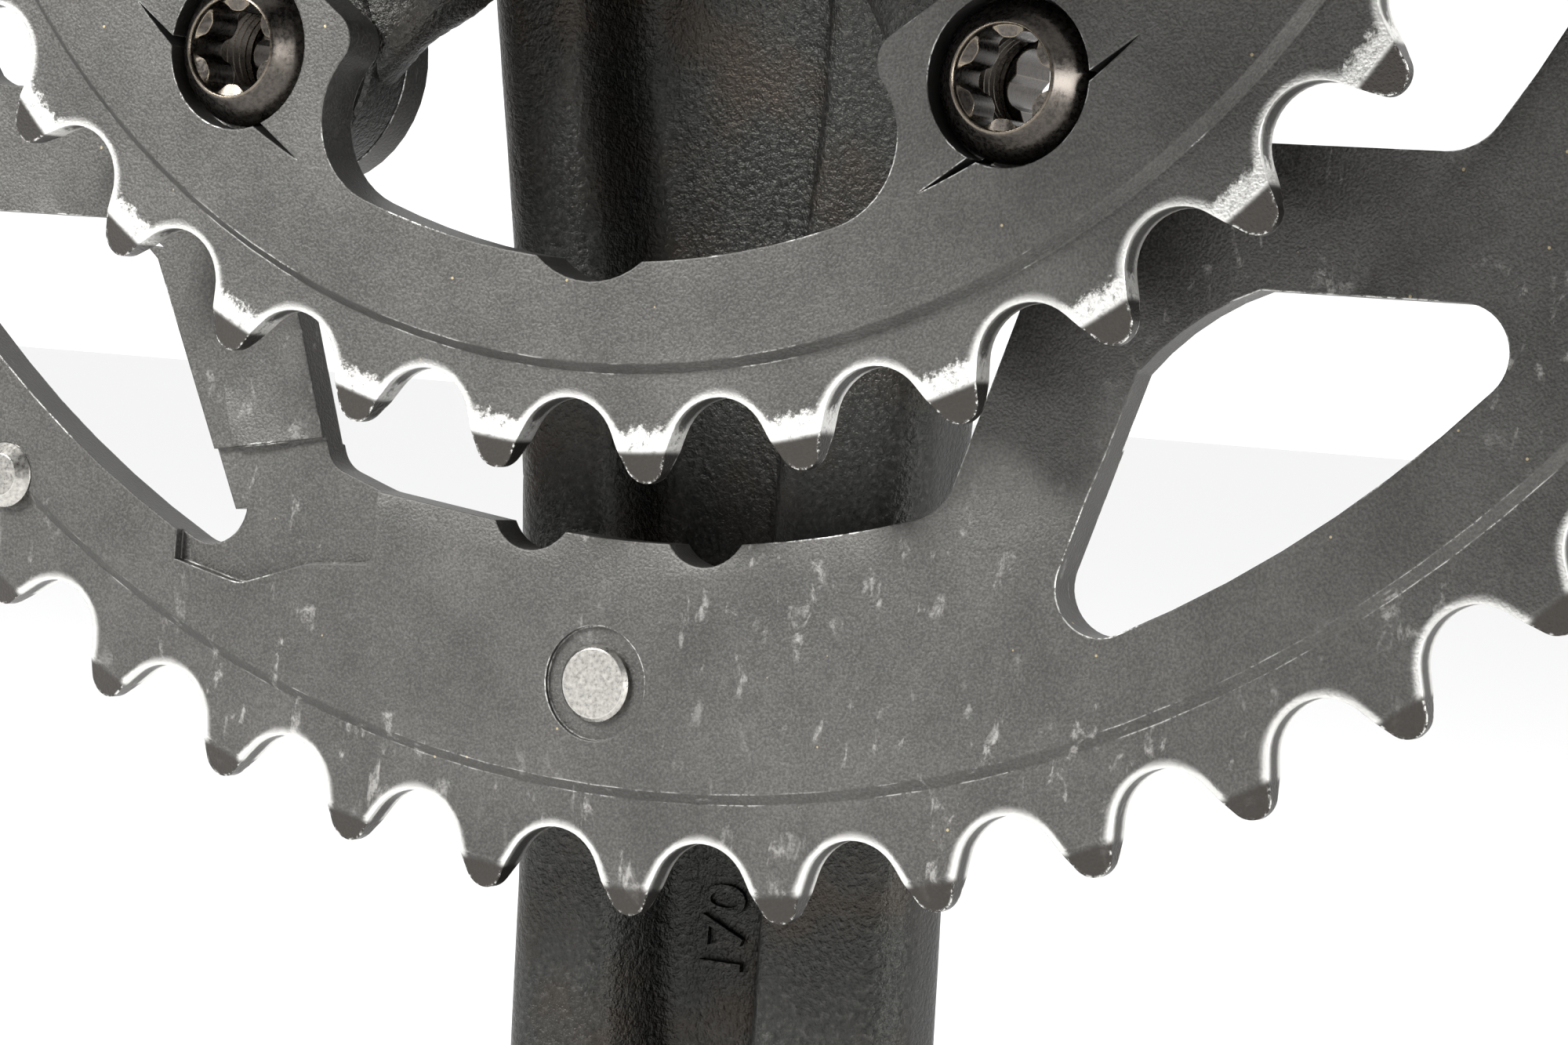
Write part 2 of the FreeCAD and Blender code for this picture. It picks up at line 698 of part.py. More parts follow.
def left_arm():
    """The non-drive arm: a split hub that two bolts clamp on the spindle."""
    body = part_body("left_crank_arm")
    turned(body, "hub", [
        ("0", "clamp_inner"),
        ("clamp_radius - 1.5", "clamp_inner"),
        ("clamp_radius", "clamp_inner + 1.5"),
        ("clamp_radius", "clamp_outer - 2.5"),
        ("clamp_radius - 2.5", "clamp_outer"),
        ("0", "clamp_outer"),
    ])
    arm_blade(body, 1, 1)
    pedal_eye(body, 1, 1)
    ears = sketch_on(body, "ear_outline", "XZ_Plane", "-(clamp_outer - 1)")
    half = size("clamp_half_width")
    low = -size("clamp_drop")
    outline_in(ears, rounded([
        FreeCAD.Vector(-half, -6, 0), FreeCAD.Vector(-half, low, 0),
        FreeCAD.Vector(half, low, 0), FreeCAD.Vector(half, -6, 0),
    ], [0, 4, 4, 0]))
    pad(body, "ears", ears, "clamp_outer - clamp_inner - 1.6")
    slot = sketch_on(body, "slot_outline", "XZ_Plane", "-(clamp_outer + 1)")
    closed_profile(slot, [
        ("-clamp_slot / 2", "-(clamp_drop + 2)"),
        ("clamp_slot / 2", "-(clamp_drop + 2)"),
        ("clamp_slot / 2", "0"),
        ("-clamp_slot / 2", "0"),
    ])
    pad(body, "slot", slot, "clamp_outer - clamp_inner + 2", cut=True, back=True)
    turned(body, "spindle_bore", [
        ("0", "clamp_inner - 1"),
        ("spindle_radius", "clamp_inner - 1"),
        ("spindle_radius", "clamp_outer - 2"),
        ("cap_radius + 0.3", "clamp_outer - 2"),
        ("cap_radius + 0.3", "clamp_outer + 1"),
        ("0", "clamp_outer + 1"),
    ], cut=True)
    for name, along, way in pinch_places():
        shank = sketch_on(body, f"{name}_hole_circle", "YZ_Plane", "-(clamp_half_width + 2)")
        circle_in(shank, "pinch_radius", along, "-pinch_drop")
        pad(body, f"{name}_hole", shank, "clamp_half_width * 2 + 4", cut=True, back=True)
        mouth = "clamp_half_width - 2.2" if way > 0 else "-(clamp_half_width + 5)"
        seat = sketch_on(body, f"{name}_seat_circle", "YZ_Plane", mouth)
        circle_in(seat, "pinch_head_radius + 0.3", along, "-pinch_drop")
        pad(body, f"{name}_seat", seat, "7.2", cut=True, back=True)
    pedal_hole(body, 1, 1)


def pinch_places():
    """Name, distance along the spindle, and the side that each pinch bolt's head is on."""
    return [
        ("inner_pinch", "clamp_inner + 5.2", 1),
        ("outer_pinch", "clamp_outer - 5.2", -1),
    ]


def pinch_bolts():
    """Two socket-head bolts across the left arm's slot, put in from opposite sides."""
    body = part_body("pinch_bolts")
    for name, along, way in pinch_places():
        head = f"{way} * (clamp_half_width - 2.2)"
        tip = f"{-way} * (clamp_half_width - 1)"
        sketch = sketch_on(body, f"{name}_side", "XY_Plane", "-pinch_drop")
        closed_profile(sketch, [
            (tip, along),
            (tip, f"{along} + pinch_radius"),
            (head, f"{along} + pinch_radius"),
            (head, f"{along} + pinch_head_radius"),
            (f"{head} + {way} * 4.4", f"{along} + pinch_head_radius"),
            (f"{head} + {way} * 5", f"{along} + pinch_head_radius - 0.6"),
            (f"{head} + {way} * 5", along),
        ])
        bolt = body.newObject("PartDesign::Revolution", name)
        bolt.Profile = sketch
        bolt.ReferenceAxis = (sketch, ["Edge7"])
        bolt.Angle = 360
        doc.recompute()
        socket = sketch_on(body, f"{name}_socket", "YZ_Plane", f"{head} + {way} * 2")
        hexagon = [at_angle(2.9, 60 * turn) for turn in range(6)]
        middle = FreeCAD.Vector(size(along), -size("pinch_drop"), 0)
        spots = [middle + corner for corner in hexagon]
        outline_in(socket, rounded(spots, [0] * 6))
        pad(body, f"{name}_drive", socket, "4", cut=True, back=way > 0)


def stopper_plate():
    """The small plastic plate in the slot, which keeps the arm on if the bolts loosen."""
    body = part_body("stopper_plate")
    outline = sketch_on(body, "plate_outline", "YZ_Plane", "-stopper_thickness / 2")
    closed_profile(outline, [
        ("clamp_inner + 0.6", "-(clamp_drop + 1)"),
        ("clamp_outer - 2.3", "-(clamp_drop + 1)"),
        ("clamp_outer - 2.3", "-(spindle_radius + 0.6)"),
        ("clamp_inner + 0.6", "-(spindle_radius + 0.6)"),
    ])
    pad(body, "plate", outline, "stopper_thickness")
    for name, along, _ in pinch_places():
        hole = sketch_on(body, f"{name}_gap_circle", "YZ_Plane", "-stopper_thickness")
        circle_in(hole, "pinch_radius + 0.25", along, "-pinch_drop")
        pad(body, f"{name}_gap", hole, "stopper_thickness * 2", cut=True, back=True)


# ---- chainrings ---------------------------------------------------------------------------

def pitch_radius(teeth):
    """The circle that the chain's pins lie on."""
    return size("chain_pitch") / (2 * math.sin(math.pi / size(teeth)))


def tooth_gap(body, teeth, tooth_height, first_gap, start, depth):
    """The space between two teeth, where one roller sits, cut right round the ring.

    Flanks leave the roller's seat at a slope and run into a round tip on the middle of each tooth.
    """
    roller = size("roller_seat")
    slope = math.radians(size("flank_slope"))
    half_step = math.pi / size(teeth)
    pitch = pitch_radius(teeth)
    tip = pitch + size(tooth_height)
    lean = math.sin(half_step - slope)
    tip_round = (tip * lean + pitch * math.sin(slope) - roller) / (1 + lean)
    on_tooth = FreeCAD.Vector(math.sin(half_step), math.cos(half_step), 0)
    middle = FreeCAD.Vector(0, pitch, 0)
    round_centre = on_tooth * (tip - tip_round) - middle
    away = FreeCAD.Vector(-math.cos(slope), math.sin(slope), 0)
    right = FreeCAD.Vector(roller * math.cos(slope), -roller * math.sin(slope), 0)
    flank_end = round_centre + away * tip_round
    top = on_tooth * tip - middle
    bulge = round_centre + (away + on_tooth).normalize() * tip_round
    beyond = top + on_tooth * 3

    def mirror(spot):
        return FreeCAD.Vector(-spot.x, spot.y, 0)

    spot = at_angle(pitch, first_gap)
    sketch = sketch_on(body, "gap_outline", "XZ_Plane", start, (spot.x, spot.y), first_gap - 90)
    outline_in(sketch, [
        Part.Arc(mirror(right), FreeCAD.Vector(0, -roller, 0), right),
        Part.LineSegment(right, flank_end),
        Part.Arc(flank_end, bulge, top),
        Part.LineSegment(top, beyond),
        Part.LineSegment(beyond, mirror(beyond)),
        Part.LineSegment(mirror(beyond), mirror(top)),
        Part.Arc(mirror(top), mirror(bulge), mirror(flank_end)),
        Part.LineSegment(mirror(flank_end), mirror(right)),
    ])
    gap = pad(body, "gap", sketch, depth, cut=True, back=True)
    round_the_axis(body, "gaps", [gap], teeth)


SMALL_FIRST_GAP = -89.0
LARGE_FIRST_GAP = -94.39


def small_ring():
    """The inner ring: a flat toothed flange with a thicker body and five bolt tabs."""
    body = part_body("small_chainring")
    tip = str(pitch_radius("small_teeth")) + " + small_tooth_height"
    outer_face = "small_depth + tooth_thickness"
    turned(body, "rim", [
        ("small_inner", "small_face"),
        ("small_step - 0.5", "small_face"),
        ("small_step + 0.2", "small_depth"),
        (f"{tip} - 2.4", "small_depth"),
        (tip, "small_depth + 0.8"),
        (tip, f"{outer_face} - 0.7"),
        (f"{tip} - 2.2", outer_face),
        ("small_step + 0.5", outer_face),
        ("small_step - 0.5", "small_back"),
        ("small_inner", "small_back"),
    ], -1)
    tab = sketch_on(body, "tab_outline", "XZ_Plane", "small_face", turn=FIRST_BOLT - 90)
    outline_in(tab, small_tab_outline())
    tabs = pad(body, "tab", tab, "small_body")
    round_the_axis(body, "tabs", [tabs], "bolt_count")
    tooth_gap(body, "small_teeth", "small_tooth_height", SMALL_FIRST_GAP, "small_face - 2", "small_body + 4")
    scallop = sketch_on(body, "scallop_circle", "XZ_Plane", "small_face - 1", (0, 6.8 - 60.3))
    circle_in(scallop, "6.8")
    pad(body, "scallop", scallop, "small_body + 2", cut=True, back=True)
    bolt_hole(body, "bolt_hole", "bolt_hole_radius", "small_face - 1", "small_body + 2")
    bolt_hole(body, "head_recess", "nut_head_radius + 0.35", "small_face - 1", "nut_seat - small_face + 1")


def small_tab_outline():
    """A tab with straight sides that flare into the rim, drawn with the bolt straight up."""
    inner = size("small_inner")
    half = size("small_tab_half")
    flare = size("small_tab_fillet")
    base = size("small_tab_inner")
    corner = 2.2
    reach = inner - flare
    high = math.sqrt(reach ** 2 - (half + flare) ** 2)
    turn = math.degrees(math.atan2(high, half + flare))
    mid_flare = (180 + turn) / 2
    right_flare = FreeCAD.Vector(half + flare, high, 0)
    left_flare = FreeCAD.Vector(-half - flare, high, 0)
    rim_right = at_angle(inner, turn)
    rim_left = at_angle(inner, 180 - turn)
    sink = FreeCAD.Vector(0, 1.5, 0)
    low_right = FreeCAD.Vector(half - corner, base + corner, 0)
    low_left = FreeCAD.Vector(corner - half, base + corner, 0)
    return [
        Part.Arc(rim_right, right_flare + at_angle(flare, mid_flare), right_flare + at_angle(flare, 180)),
        Part.LineSegment(right_flare + at_angle(flare, 180), FreeCAD.Vector(half, base + corner, 0)),
        Part.Arc(FreeCAD.Vector(half, base + corner, 0), low_right + at_angle(corner, -45),
                 FreeCAD.Vector(half - corner, base, 0)),
        Part.LineSegment(FreeCAD.Vector(half - corner, base, 0), FreeCAD.Vector(corner - half, base, 0)),
        Part.Arc(FreeCAD.Vector(corner - half, base, 0), low_left + at_angle(corner, -135),
                 FreeCAD.Vector(-half, base + corner, 0)),
        Part.LineSegment(FreeCAD.Vector(-half, base + corner, 0), left_flare + at_angle(flare, 0)),
        Part.Arc(left_flare + at_angle(flare, 0), left_flare + at_angle(flare, 180 - mid_flare), rim_left),
        Part.LineSegment(rim_left, rim_left + sink),
        Part.LineSegment(rim_left + sink, rim_right + sink),
        Part.LineSegment(rim_right + sink, rim_right),
    ]


def bolt_hole(body, name, radius, start, depth):
    sketch = sketch_on(body, f"{name}_circle", "XZ_Plane", start, BOLT_CENTRE)
    circle_in(sketch, radius)
    hole = pad(body, name, sketch, depth, cut=True, back=True)
    round_the_axis(body, name + "_ring", [hole], "bolt_count")


def large_ring():
    """The outer ring: a proud rim on its inboard side and five braced bolt tabs with windows."""
    body = part_body("large_chainring")
    tip = str(pitch_radius("large_teeth")) + " + large_tooth_height"
    tooth_face = "large_face + 0.2"
    outer_face = f"{tooth_face} + tooth_thickness"
    turned(body, "rim", [
        ("large_inner", "large_face"),
        ("ridge_radius", "large_face - large_proud"),
        ("large_step - 0.8", "large_face - large_proud"),
        ("large_step", tooth_face),
        (f"{tip} - 2.4", tooth_face),
        (tip, f"{tooth_face} + 0.8"),
        (tip, f"{outer_face} - 0.7"),
        (f"{tip} - 2.2", outer_face),
        ("large_step + 0.4", outer_face),
        ("large_step - 0.8", "large_back"),
        ("large_inner", "large_back"),
    ], -1)
    tab = sketch_on(body, "tab_circle", "XZ_Plane", "large_face", BOLT_CENTRE)
    circle_in(tab, "tab_radius")
    tab_pad = pad(body, "tab", tab, "large_body")
    braces = []
    for name, way in (("brace_ahead", 1), ("brace_behind", -1)):
        brace = sketch_on(body, f"{name}_outline", "XZ_Plane", "large_face", turn=FIRST_BOLT - 90)
        outline_in(brace, brace_outline(way))
        braces.append(pad(body, name, brace, "strut_thickness"))
    web = sketch_on(body, "web_outline", "XZ_Plane", "large_face", turn=FIRST_BOLT - 90)
    closed_profile(web, [
        ("-(window_blunt_half + 1.5)", "bolt_circle + 4"),
        ("window_blunt_half + 1.5", "bolt_circle + 4"),
        ("window_blunt_half + 1.5", "window_blunt + 1.6"),
        ("-(window_blunt_half + 1.5)", "window_blunt + 1.6"),
    ])
    web_pad = pad(body, "web", web, "strut_thickness")
    round_the_axis(body, "tabs", [tab_pad, web_pad] + braces, "bolt_count")
    window = sketch_on(body, "window_outline", "XZ_Plane", "large_face - 3", turn=FIRST_BOLT - 90)
    outline_in(window, window_outline())
    cut = pad(body, "window", window, "large_body + 6", cut=True, back=True)
    round_the_axis(body, "windows", [cut], "bolt_count")
    lift_side(body)
    tooth_gap(body, "large_teeth", "large_tooth_height", LARGE_FIRST_GAP, "large_face - 3", "large_body + 6")
    bolt_hole(body, "bolt_hole", "bolt_hole_radius", "large_face - 1", "large_body + 2")
    bolt_hole(body, "head_recess", "screw_head_radius + 0.3", "screw_seat", "3")
    pin_holes(body)


def across_and_up(spots):
    """Points as vectors in the plane of the rings."""
    return [FreeCAD.Vector(across, up, 0) for across, up in spots]


def lift_side(body):
    """The bar ahead of the arm is broader, and a shallow pocket beside it clears the lifted chain."""
    broad = across_and_up([(46.2, -59.6), (45.0, -60.6), (36.1, -79.7), (33.2, -79.0), (37.0, -60.0)])
    web = sketch_on(body, "lift_web_outline", "XZ_Plane", "large_face")
    outline_in(web, rounded(broad, [0] * 5))
    pad(body, "lift_web", web, "strut_thickness")
    relief = across_and_up([(33.5, -57.2), (27.4, -75.6), (22.6, -77.2), (11.2, -78.6), (11.2, -70.0),
                            (27.0, -57.2)])
    inside = sketch_on(body, "lift_relief_outline", "XZ_Plane", "large_face - 3")
    outline_in(inside, rounded(relief, [0, 2.4, 4, 0, 0, 0]))
    pad(body, "lift_relief", inside, "large_body + 6", cut=True, back=True)
    shallow = across_and_up([(41.0, -75.6), (27.6, -73.4), (22.5, -76.5), (22.5, -82.8), (28.4, -83.3),
                             (34.7, -85.4), (41.0, -84.0)])
    pocket = sketch_on(body, "lift_pocket_outline", "XZ_Plane", "large_face - 3")
    outline_in(pocket, rounded(shallow, [0, 0, 0.4, 0.8, 3, 3, 0]))
    pad(body, "lift_pocket", pocket, "3 + lift_pocket_depth", cut=True, back=True)
    for name, across, reach in (("scallop_ahead", 8.6, 80.5), ("scallop_behind", -6.3, 80.5)):
        notch = sketch_on(body, f"{name}_circle", "XZ_Plane", "large_face - 3", (across, 3.6 - reach))
        circle_in(notch, "3.6")
        pad(body, name, notch, "large_body + 6", cut=True, back=True)


def strut_edge():
    """How far the bars' outer edges stand from the axis; they clear the seat of each tab."""
    return size("bolt_circle") * math.cos(math.pi / size("bolt_count")) + size("strut_cover")


def brace_outline(way):
    """A straight bar from the bolt tab that flares into the rim, drawn with the bolt straight up."""
    normal_turn = 90 - way * 180 / size("bolt_count")
    along = at_angle(1, normal_turn + way * 90)
    across = at_angle(1, normal_turn)
    start = FreeCAD.Vector(0, size("bolt_circle"), 0).dot(along)
    far = strut_edge()
    near = far - size("strut_width")
    inner = size("large_inner")
    flare = size("strut_flare")
    slide = math.sqrt((inner - flare) ** 2 - (near - flare) ** 2)
    centre = across * (near - flare) + along * slide
    outward = FreeCAD.Vector(centre).normalize()
    on_bar = across * near + along * slide
    on_rim = outward * inner
    bulge = centre + (outward + across).normalize() * flare
    sunk = outward * (inner + 2)
    far_end = across * far + along * math.sqrt((inner + 3) ** 2 - far ** 2)
    near_start = across * near + along * start
    far_start = across * far + along * start
    return [
        Part.LineSegment(near_start, on_bar),
        Part.Arc(on_bar, bulge, on_rim),
        Part.LineSegment(on_rim, sunk),
        Part.LineSegment(sunk, far_end),
        Part.LineSegment(far_end, far_start),
        Part.LineSegment(far_start, near_start),
    ]


def window_outline():
    """The three-sided window between the two bars and the rim, drawn with the bolt straight up."""
    far = strut_edge()
    outer = size("window_outer")
    corner = size("window_corner")
    blunt = size("window_blunt")
    half_step = 180 / size("bolt_count")
    normal = at_angle(1, 90 + half_step)
    along = at_angle(1, half_step)
    # the outer corner's rounding touches the bar's edge and the rim's arc
    slide = math.sqrt((outer - corner) ** 2 - (far + corner) ** 2)
    centre = normal * (far + corner) + along * slide
    outward = FreeCAD.Vector(centre).normalize()
    touch_bar = centre - normal * corner
    touch_rim = outward * outer
    bulge = centre + (outward - normal).normalize() * corner
    # the blunt inner end is a short arc between the two bars' edges
    half = size("window_blunt_half")
    tip_right = FreeCAD.Vector(half, (far - half * normal.x) / normal.y, 0)

    def mirror(spot):
        return FreeCAD.Vector(-spot.x, spot.y, 0)

    return [
        Part.LineSegment(tip_right, touch_bar),
        Part.Arc(touch_bar, bulge, touch_rim),
        Part.Arc(touch_rim, FreeCAD.Vector(0, outer, 0), mirror(touch_rim)),
        Part.Arc(mirror(touch_rim), mirror(bulge), mirror(touch_bar)),
        Part.LineSegment(mirror(touch_bar), mirror(tip_right)),
        Part.Arc(mirror(tip_right), FreeCAD.Vector(0, blunt, 0), tip_right),
    ]


SHIFT_PIN_ANGLES = [-53.5, -173.5, 66.5]
DROP_PIN_ANGLE = -88.8


def shift_pin_spots():
    return [at_angle(size("shift_pin_circle"), turn) for turn in SHIFT_PIN_ANGLES]


def drop_pin_spot():
    """The drop pin stands behind the right arm, a little ahead of its middle."""
    return at_angle(size("drop_pin_circle"), DROP_PIN_ANGLE)


def pin_holes(body):
    """Seats and through holes for the shift pins and the drop pin."""
    for index, spot in enumerate(shift_pin_spots()):
        for name, radius, start, depth in (
            ("seat", "shift_pin_radius", "large_face - 3", "3.2"),
            ("shank", "1.25", "large_face - 3", "large_body + 6"),
        ):
            sketch = sketch_on(body, f"shift_pin_{name}_{index}", "XZ_Plane", start, (spot.x, spot.y))
            circle_in(sketch, radius)
            pad(body, f"shift_{name}_{index}", sketch, depth, cut=True, back=True)
    spot = drop_pin_spot()
    for name, radius, start, depth in (
        ("drop_recess", "drop_pin_radius + 1.7", "large_face - 3", "3"),
        ("drop_hole", "1.6", "large_face - 3", "large_body + 6"),
    ):
        sketch = sketch_on(body, f"{name}_circle", "XZ_Plane", start, (spot.x, spot.y))
        circle_in(sketch, radius)
        pad(body, name, sketch, depth, cut=True, back=True)


def turned_on(body, name, corners, spot, cut=False):
    """A drive-side turned shape about its own axis through a point of the XZ plane."""
    sketch = body.newObject("Sketcher::SketchObject", name + "_profile")
    sketch.AttachmentSupport = (datum(body, "XY_Plane"), [""])
    sketch.MapMode = "FlatFace"
    place = FreeCAD.Vector(spot.x, 0, spot.y)
    sketch.AttachmentOffset = FreeCAD.Placement(place, FreeCAD.Rotation())
    closed_profile(sketch, [(radius, f"-({depth})") for radius, depth in corners])
    return spin(body, name, sketch, cut)


def lobed_outline(tip, valley, lobes=6):
    """A six-lobed drive: round lobes joined by round shoulders."""
    edges = []
    step = 360 / lobes
    for index in range(lobes):
        middle = index * step
        start = at_angle(valley, middle - step / 2)
        end = at_angle(valley, middle + step / 2)
        left = at_angle((tip + valley) / 2 + 0.1, middle - step * 0.27)
        right = at_angle((tip + valley) / 2 + 0.1, middle + step * 0.27)
        edges.append(Part.LineSegment(start, left))
        edges.append(Part.Arc(left, at_angle(tip, middle), right))
        edges.append(Part.LineSegment(right, end))
    return edges


def chainring_nuts():
    """The sleeve nuts, put in from the inboard side, with a six-lobed hole through the head."""
    body = part_body("chainring_nuts")
    nut = turned_on(body, "nut", [
        ("0", "nut_crown"),
        ("nut_bore_radius + 0.3", "nut_crown"),
        ("nut_head_radius - 0.2", "nut_rim - 0.5"),
        ("nut_head_radius", "nut_rim"),
        ("nut_head_radius", "nut_seat"),
        ("nut_sleeve_radius", "nut_seat"),
        ("nut_sleeve_radius", "nut_end"),
        ("0", "nut_end"),
    ], BOLT_SPOT)
    bore = turned_on(body, "bore", [
        ("0", "nut_seat + 0.8"),
        ("nut_bore_radius", "nut_seat + 0.8"),
        ("nut_bore_radius", "nut_end + 1"),
        ("0", "nut_end + 1"),
    ], BOLT_SPOT, cut=True)
    drive = sketch_on(body, "drive_outline", "XZ_Plane", "nut_crown - 1", BOLT_CENTRE)
    outline_in(drive, lobed_outline(size("nut_bore_radius + 0.15"), size("nut_bore_radius - 0.45")))
    hole = pad(body, "drive", drive, "nut_seat - nut_crown + 3", cut=True, back=True)
    round_the_axis(body, "nuts", [nut, bore, hole], "bolt_count")


def chainring_screws():
    """The hollow screws that go into the nuts from the outboard side."""
    body = part_body("chainring_bolts")
    screw = turned_on(body, "screw", [
        ("0", "nut_end - screw_reach"),
        ("screw_radius - 0.3", "nut_end - screw_reach"),
        ("screw_radius", "nut_end - screw_reach + 0.3"),
        ("screw_radius", "screw_seat"),
        ("screw_head_radius", "screw_seat"),
        ("screw_head_radius", "large_back - 0.4"),
        ("screw_head_radius - 1.2", "large_back + 0.2"),
        ("0", "large_back + 0.2"),
    ], BOLT_SPOT)
    drive = sketch_on(body, "drive_outline", "XZ_Plane", "small_back", BOLT_CENTRE)
    outline_in(drive, lobed_outline(size("screw_radius - 0.4"), size("screw_radius - 0.9")))
    hole = pad(body, "drive", drive, "ring_spacing + 4", cut=True, back=True)
    round_the_axis(body, "screws", [screw, hole], "bolt_count")


def shift_pins():
    """Steel pins riveted through the large ring, whose heads lift the chain."""
    body = part_body("shift_pins")
    for index, spot in enumerate(shift_pin_spots()):
        turned_on(body, f"pin_{index}", [
            ("0", "large_face - 1.3"),
            ("shift_pin_radius - 0.9", "large_face - 1.3"),
            ("shift_pin_radius", "large_face - 0.5"),
            ("shift_pin_radius", "large_face + 0.2"),
            ("1.25", "large_face + 0.2"),
            ("1.25", "large_face + 0.2 + tooth_thickness"),
            ("0", "large_face + 0.2 + tooth_thickness"),
        ], spot)


def drop_pin():
    """The pin that keeps a dropped chain from wedging between ring and arm."""
    body = part_body("chain_drop_pin")
    turned_on(body, "pin", [
        ("0", "large_face - 0.7"),
        ("drop_pin_radius", "large_face - 0.7"),
        ("drop_pin_radius + 0.3", "large_face - 0.4"),
        ("drop_pin_radius + 0.3", "large_face"),
        ("1.6", "large_face"),
        ("1.6", "large_back"),
        ("drop_pin_radius", "large_back"),
        ("drop_pin_radius", "large_back + 5.2"),
        ("drop_pin_radius - 0.8", "large_back + 6"),
        ("0", "large_back + 6"),
    ], drop_pin_spot())


# ---- the whole crankset -------------------------------------------------------------------

for side_name, side in (("right", -1), ("left", 1)):
    cup(f"{side_name}_cup", side)
    outer_race(f"{side_name}_outer_race", side)
    inner_race(f"{side_name}_inner_race", side)
    ball_set(f"{side_name}_balls", side)
    cage(f"{side_name}_ball_cage", side)
    seals(f"{side_name}_bearing_seals", side)
    dust_sleeve(f"{side_name}_dust_sleeve", side)
centre_tube()
sealing_rings()
spindle()
end_plug()
right_arm()
small_ring()
large_ring()
chainring_nuts()
chainring_screws()
shift_pins()
drop_pin()
left_arm()
pinch_bolts()
stopper_plate()
preload_cap()

doc.recompute()
for item in doc.Objects:
    if "Invalid" in item.State or "Error" in item.State:
        raise RuntimeError(f"{item.Label} did not recompute: {item.State}")
os.makedirs("parts", exist_ok=True)
for node in NODES:
    shape = node.Shape
    if shape.isNull() or not shape.isValid() or not shape.Solids:
        raise RuntimeError(f"{node.Label} has no sound solid")
    shape.exportStep(f"parts/{node.Label}.step")
    print(f"{node.Label}: {len(shape.Solids)} solids, {shape.Volume:.1f} mm3")
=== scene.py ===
import json
import math

import bmesh
import bpy
import numpy as np
from mathutils import Matrix, Vector


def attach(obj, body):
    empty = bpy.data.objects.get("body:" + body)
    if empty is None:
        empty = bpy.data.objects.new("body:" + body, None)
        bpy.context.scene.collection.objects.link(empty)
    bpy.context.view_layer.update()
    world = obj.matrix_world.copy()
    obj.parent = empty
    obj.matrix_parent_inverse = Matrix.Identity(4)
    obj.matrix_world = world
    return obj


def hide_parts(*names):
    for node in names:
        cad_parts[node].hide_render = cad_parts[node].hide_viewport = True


# A bicycle crankset: two forged arms, a hollow spindle, two chainrings and their threaded cups.
# The spindle lies along Y, the chainrings are at -Y, X is forward and Z is up. Lengths are in
# metres unless a name or a comment says millimetres.

MM = 0.001
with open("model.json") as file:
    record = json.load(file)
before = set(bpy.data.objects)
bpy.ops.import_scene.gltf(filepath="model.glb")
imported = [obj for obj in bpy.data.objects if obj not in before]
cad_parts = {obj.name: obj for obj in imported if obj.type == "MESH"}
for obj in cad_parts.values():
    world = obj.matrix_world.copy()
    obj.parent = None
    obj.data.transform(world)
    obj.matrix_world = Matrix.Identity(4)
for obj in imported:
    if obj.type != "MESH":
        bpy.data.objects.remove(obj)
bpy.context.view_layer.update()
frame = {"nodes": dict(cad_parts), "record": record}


# ---- materials ----------------------------------------------------------------------------

def colour(hex_value):
    """An sRGB hex value as the linear colour that a shader socket takes."""
    channels = [int(hex_value[start:start + 2], 16) / 255 for start in (1, 3, 5)]
    linear = [c / 12.92 if c <= 0.04045 else ((c + 0.055) / 1.055) ** 2.4 for c in channels]
    return (*linear, 1.0)


def add(tree, kind, inputs=None, **settings):
    """Add one shader node: settings go on the node, inputs are values or other nodes' sockets."""
    made = tree.nodes.new("ShaderNode" + kind)
    for name, value in settings.items():
        setattr(made, name, value)
    for name, value in (inputs or {}).items():
        socket = made.inputs[name]
        if isinstance(value, bpy.types.NodeSocket):
            tree.links.new(value, socket)
        else:
            socket.default_value = value
    return made


def ramp(tree, factor, stops):
    """A colour ramp from (place, hex or grey level) stops."""
    made = add(tree, "ValToRGB", {"Fac": factor})
    elements = made.color_ramp.elements
    while len(elements) > 1:
        elements.remove(elements[-1])
    for index, (place, value) in enumerate(stops):
        element = elements[0] if index == 0 else elements.new(place)
        element.position = place
        element.color = colour(value) if isinstance(value, str) else (value, value, value, 1)
    return made.outputs["Color"]


def start_material(name, **uniform):
    """A new material with its shader's uniform sockets set, and object space in millimetres."""
    material = bpy.data.materials.new(name)
    material.use_nodes = True
    tree = material.node_tree
    shader = tree.nodes["Principled BSDF"]
    for socket, value in uniform.items():
        shader.inputs[socket.replace("_", " ")].default_value = value
    spot = add(tree, "TexCoord").outputs["Object"]
    millimetres = add(tree, "VectorMath", {0: spot, 1: (1000, 1000, 1000)}, operation="MULTIPLY")
    return material, tree, shader, millimetres.outputs[0]


def worn_edge(tree, radius_mm, low, high):
    """1 on outside edges and 0 on flats: where the rounded normal leaves the true one."""
    soft = add(tree, "Bevel", {"Radius": radius_mm * MM}, samples=6).outputs[0]
    true = add(tree, "NewGeometry").outputs["True Normal"]
    facing = add(tree, "VectorMath", {0: soft, 1: true}, operation="DOT_PRODUCT").outputs["Value"]
    return add(tree, "MapRange", {"Value": facing, "From Min": high, "From Max": low}).outputs[0]


def mix(tree, factor, first, second):
    """Blend two colours by a factor."""
    made = add(tree, "Mix", {0: factor}, data_type="RGBA")
    for socket, value in ((made.inputs[6], first), (made.inputs[7], second)):
        if isinstance(value, bpy.types.NodeSocket):
            tree.links.new(value, socket)
        else:
            socket.default_value = value
    return made.outputs[2]


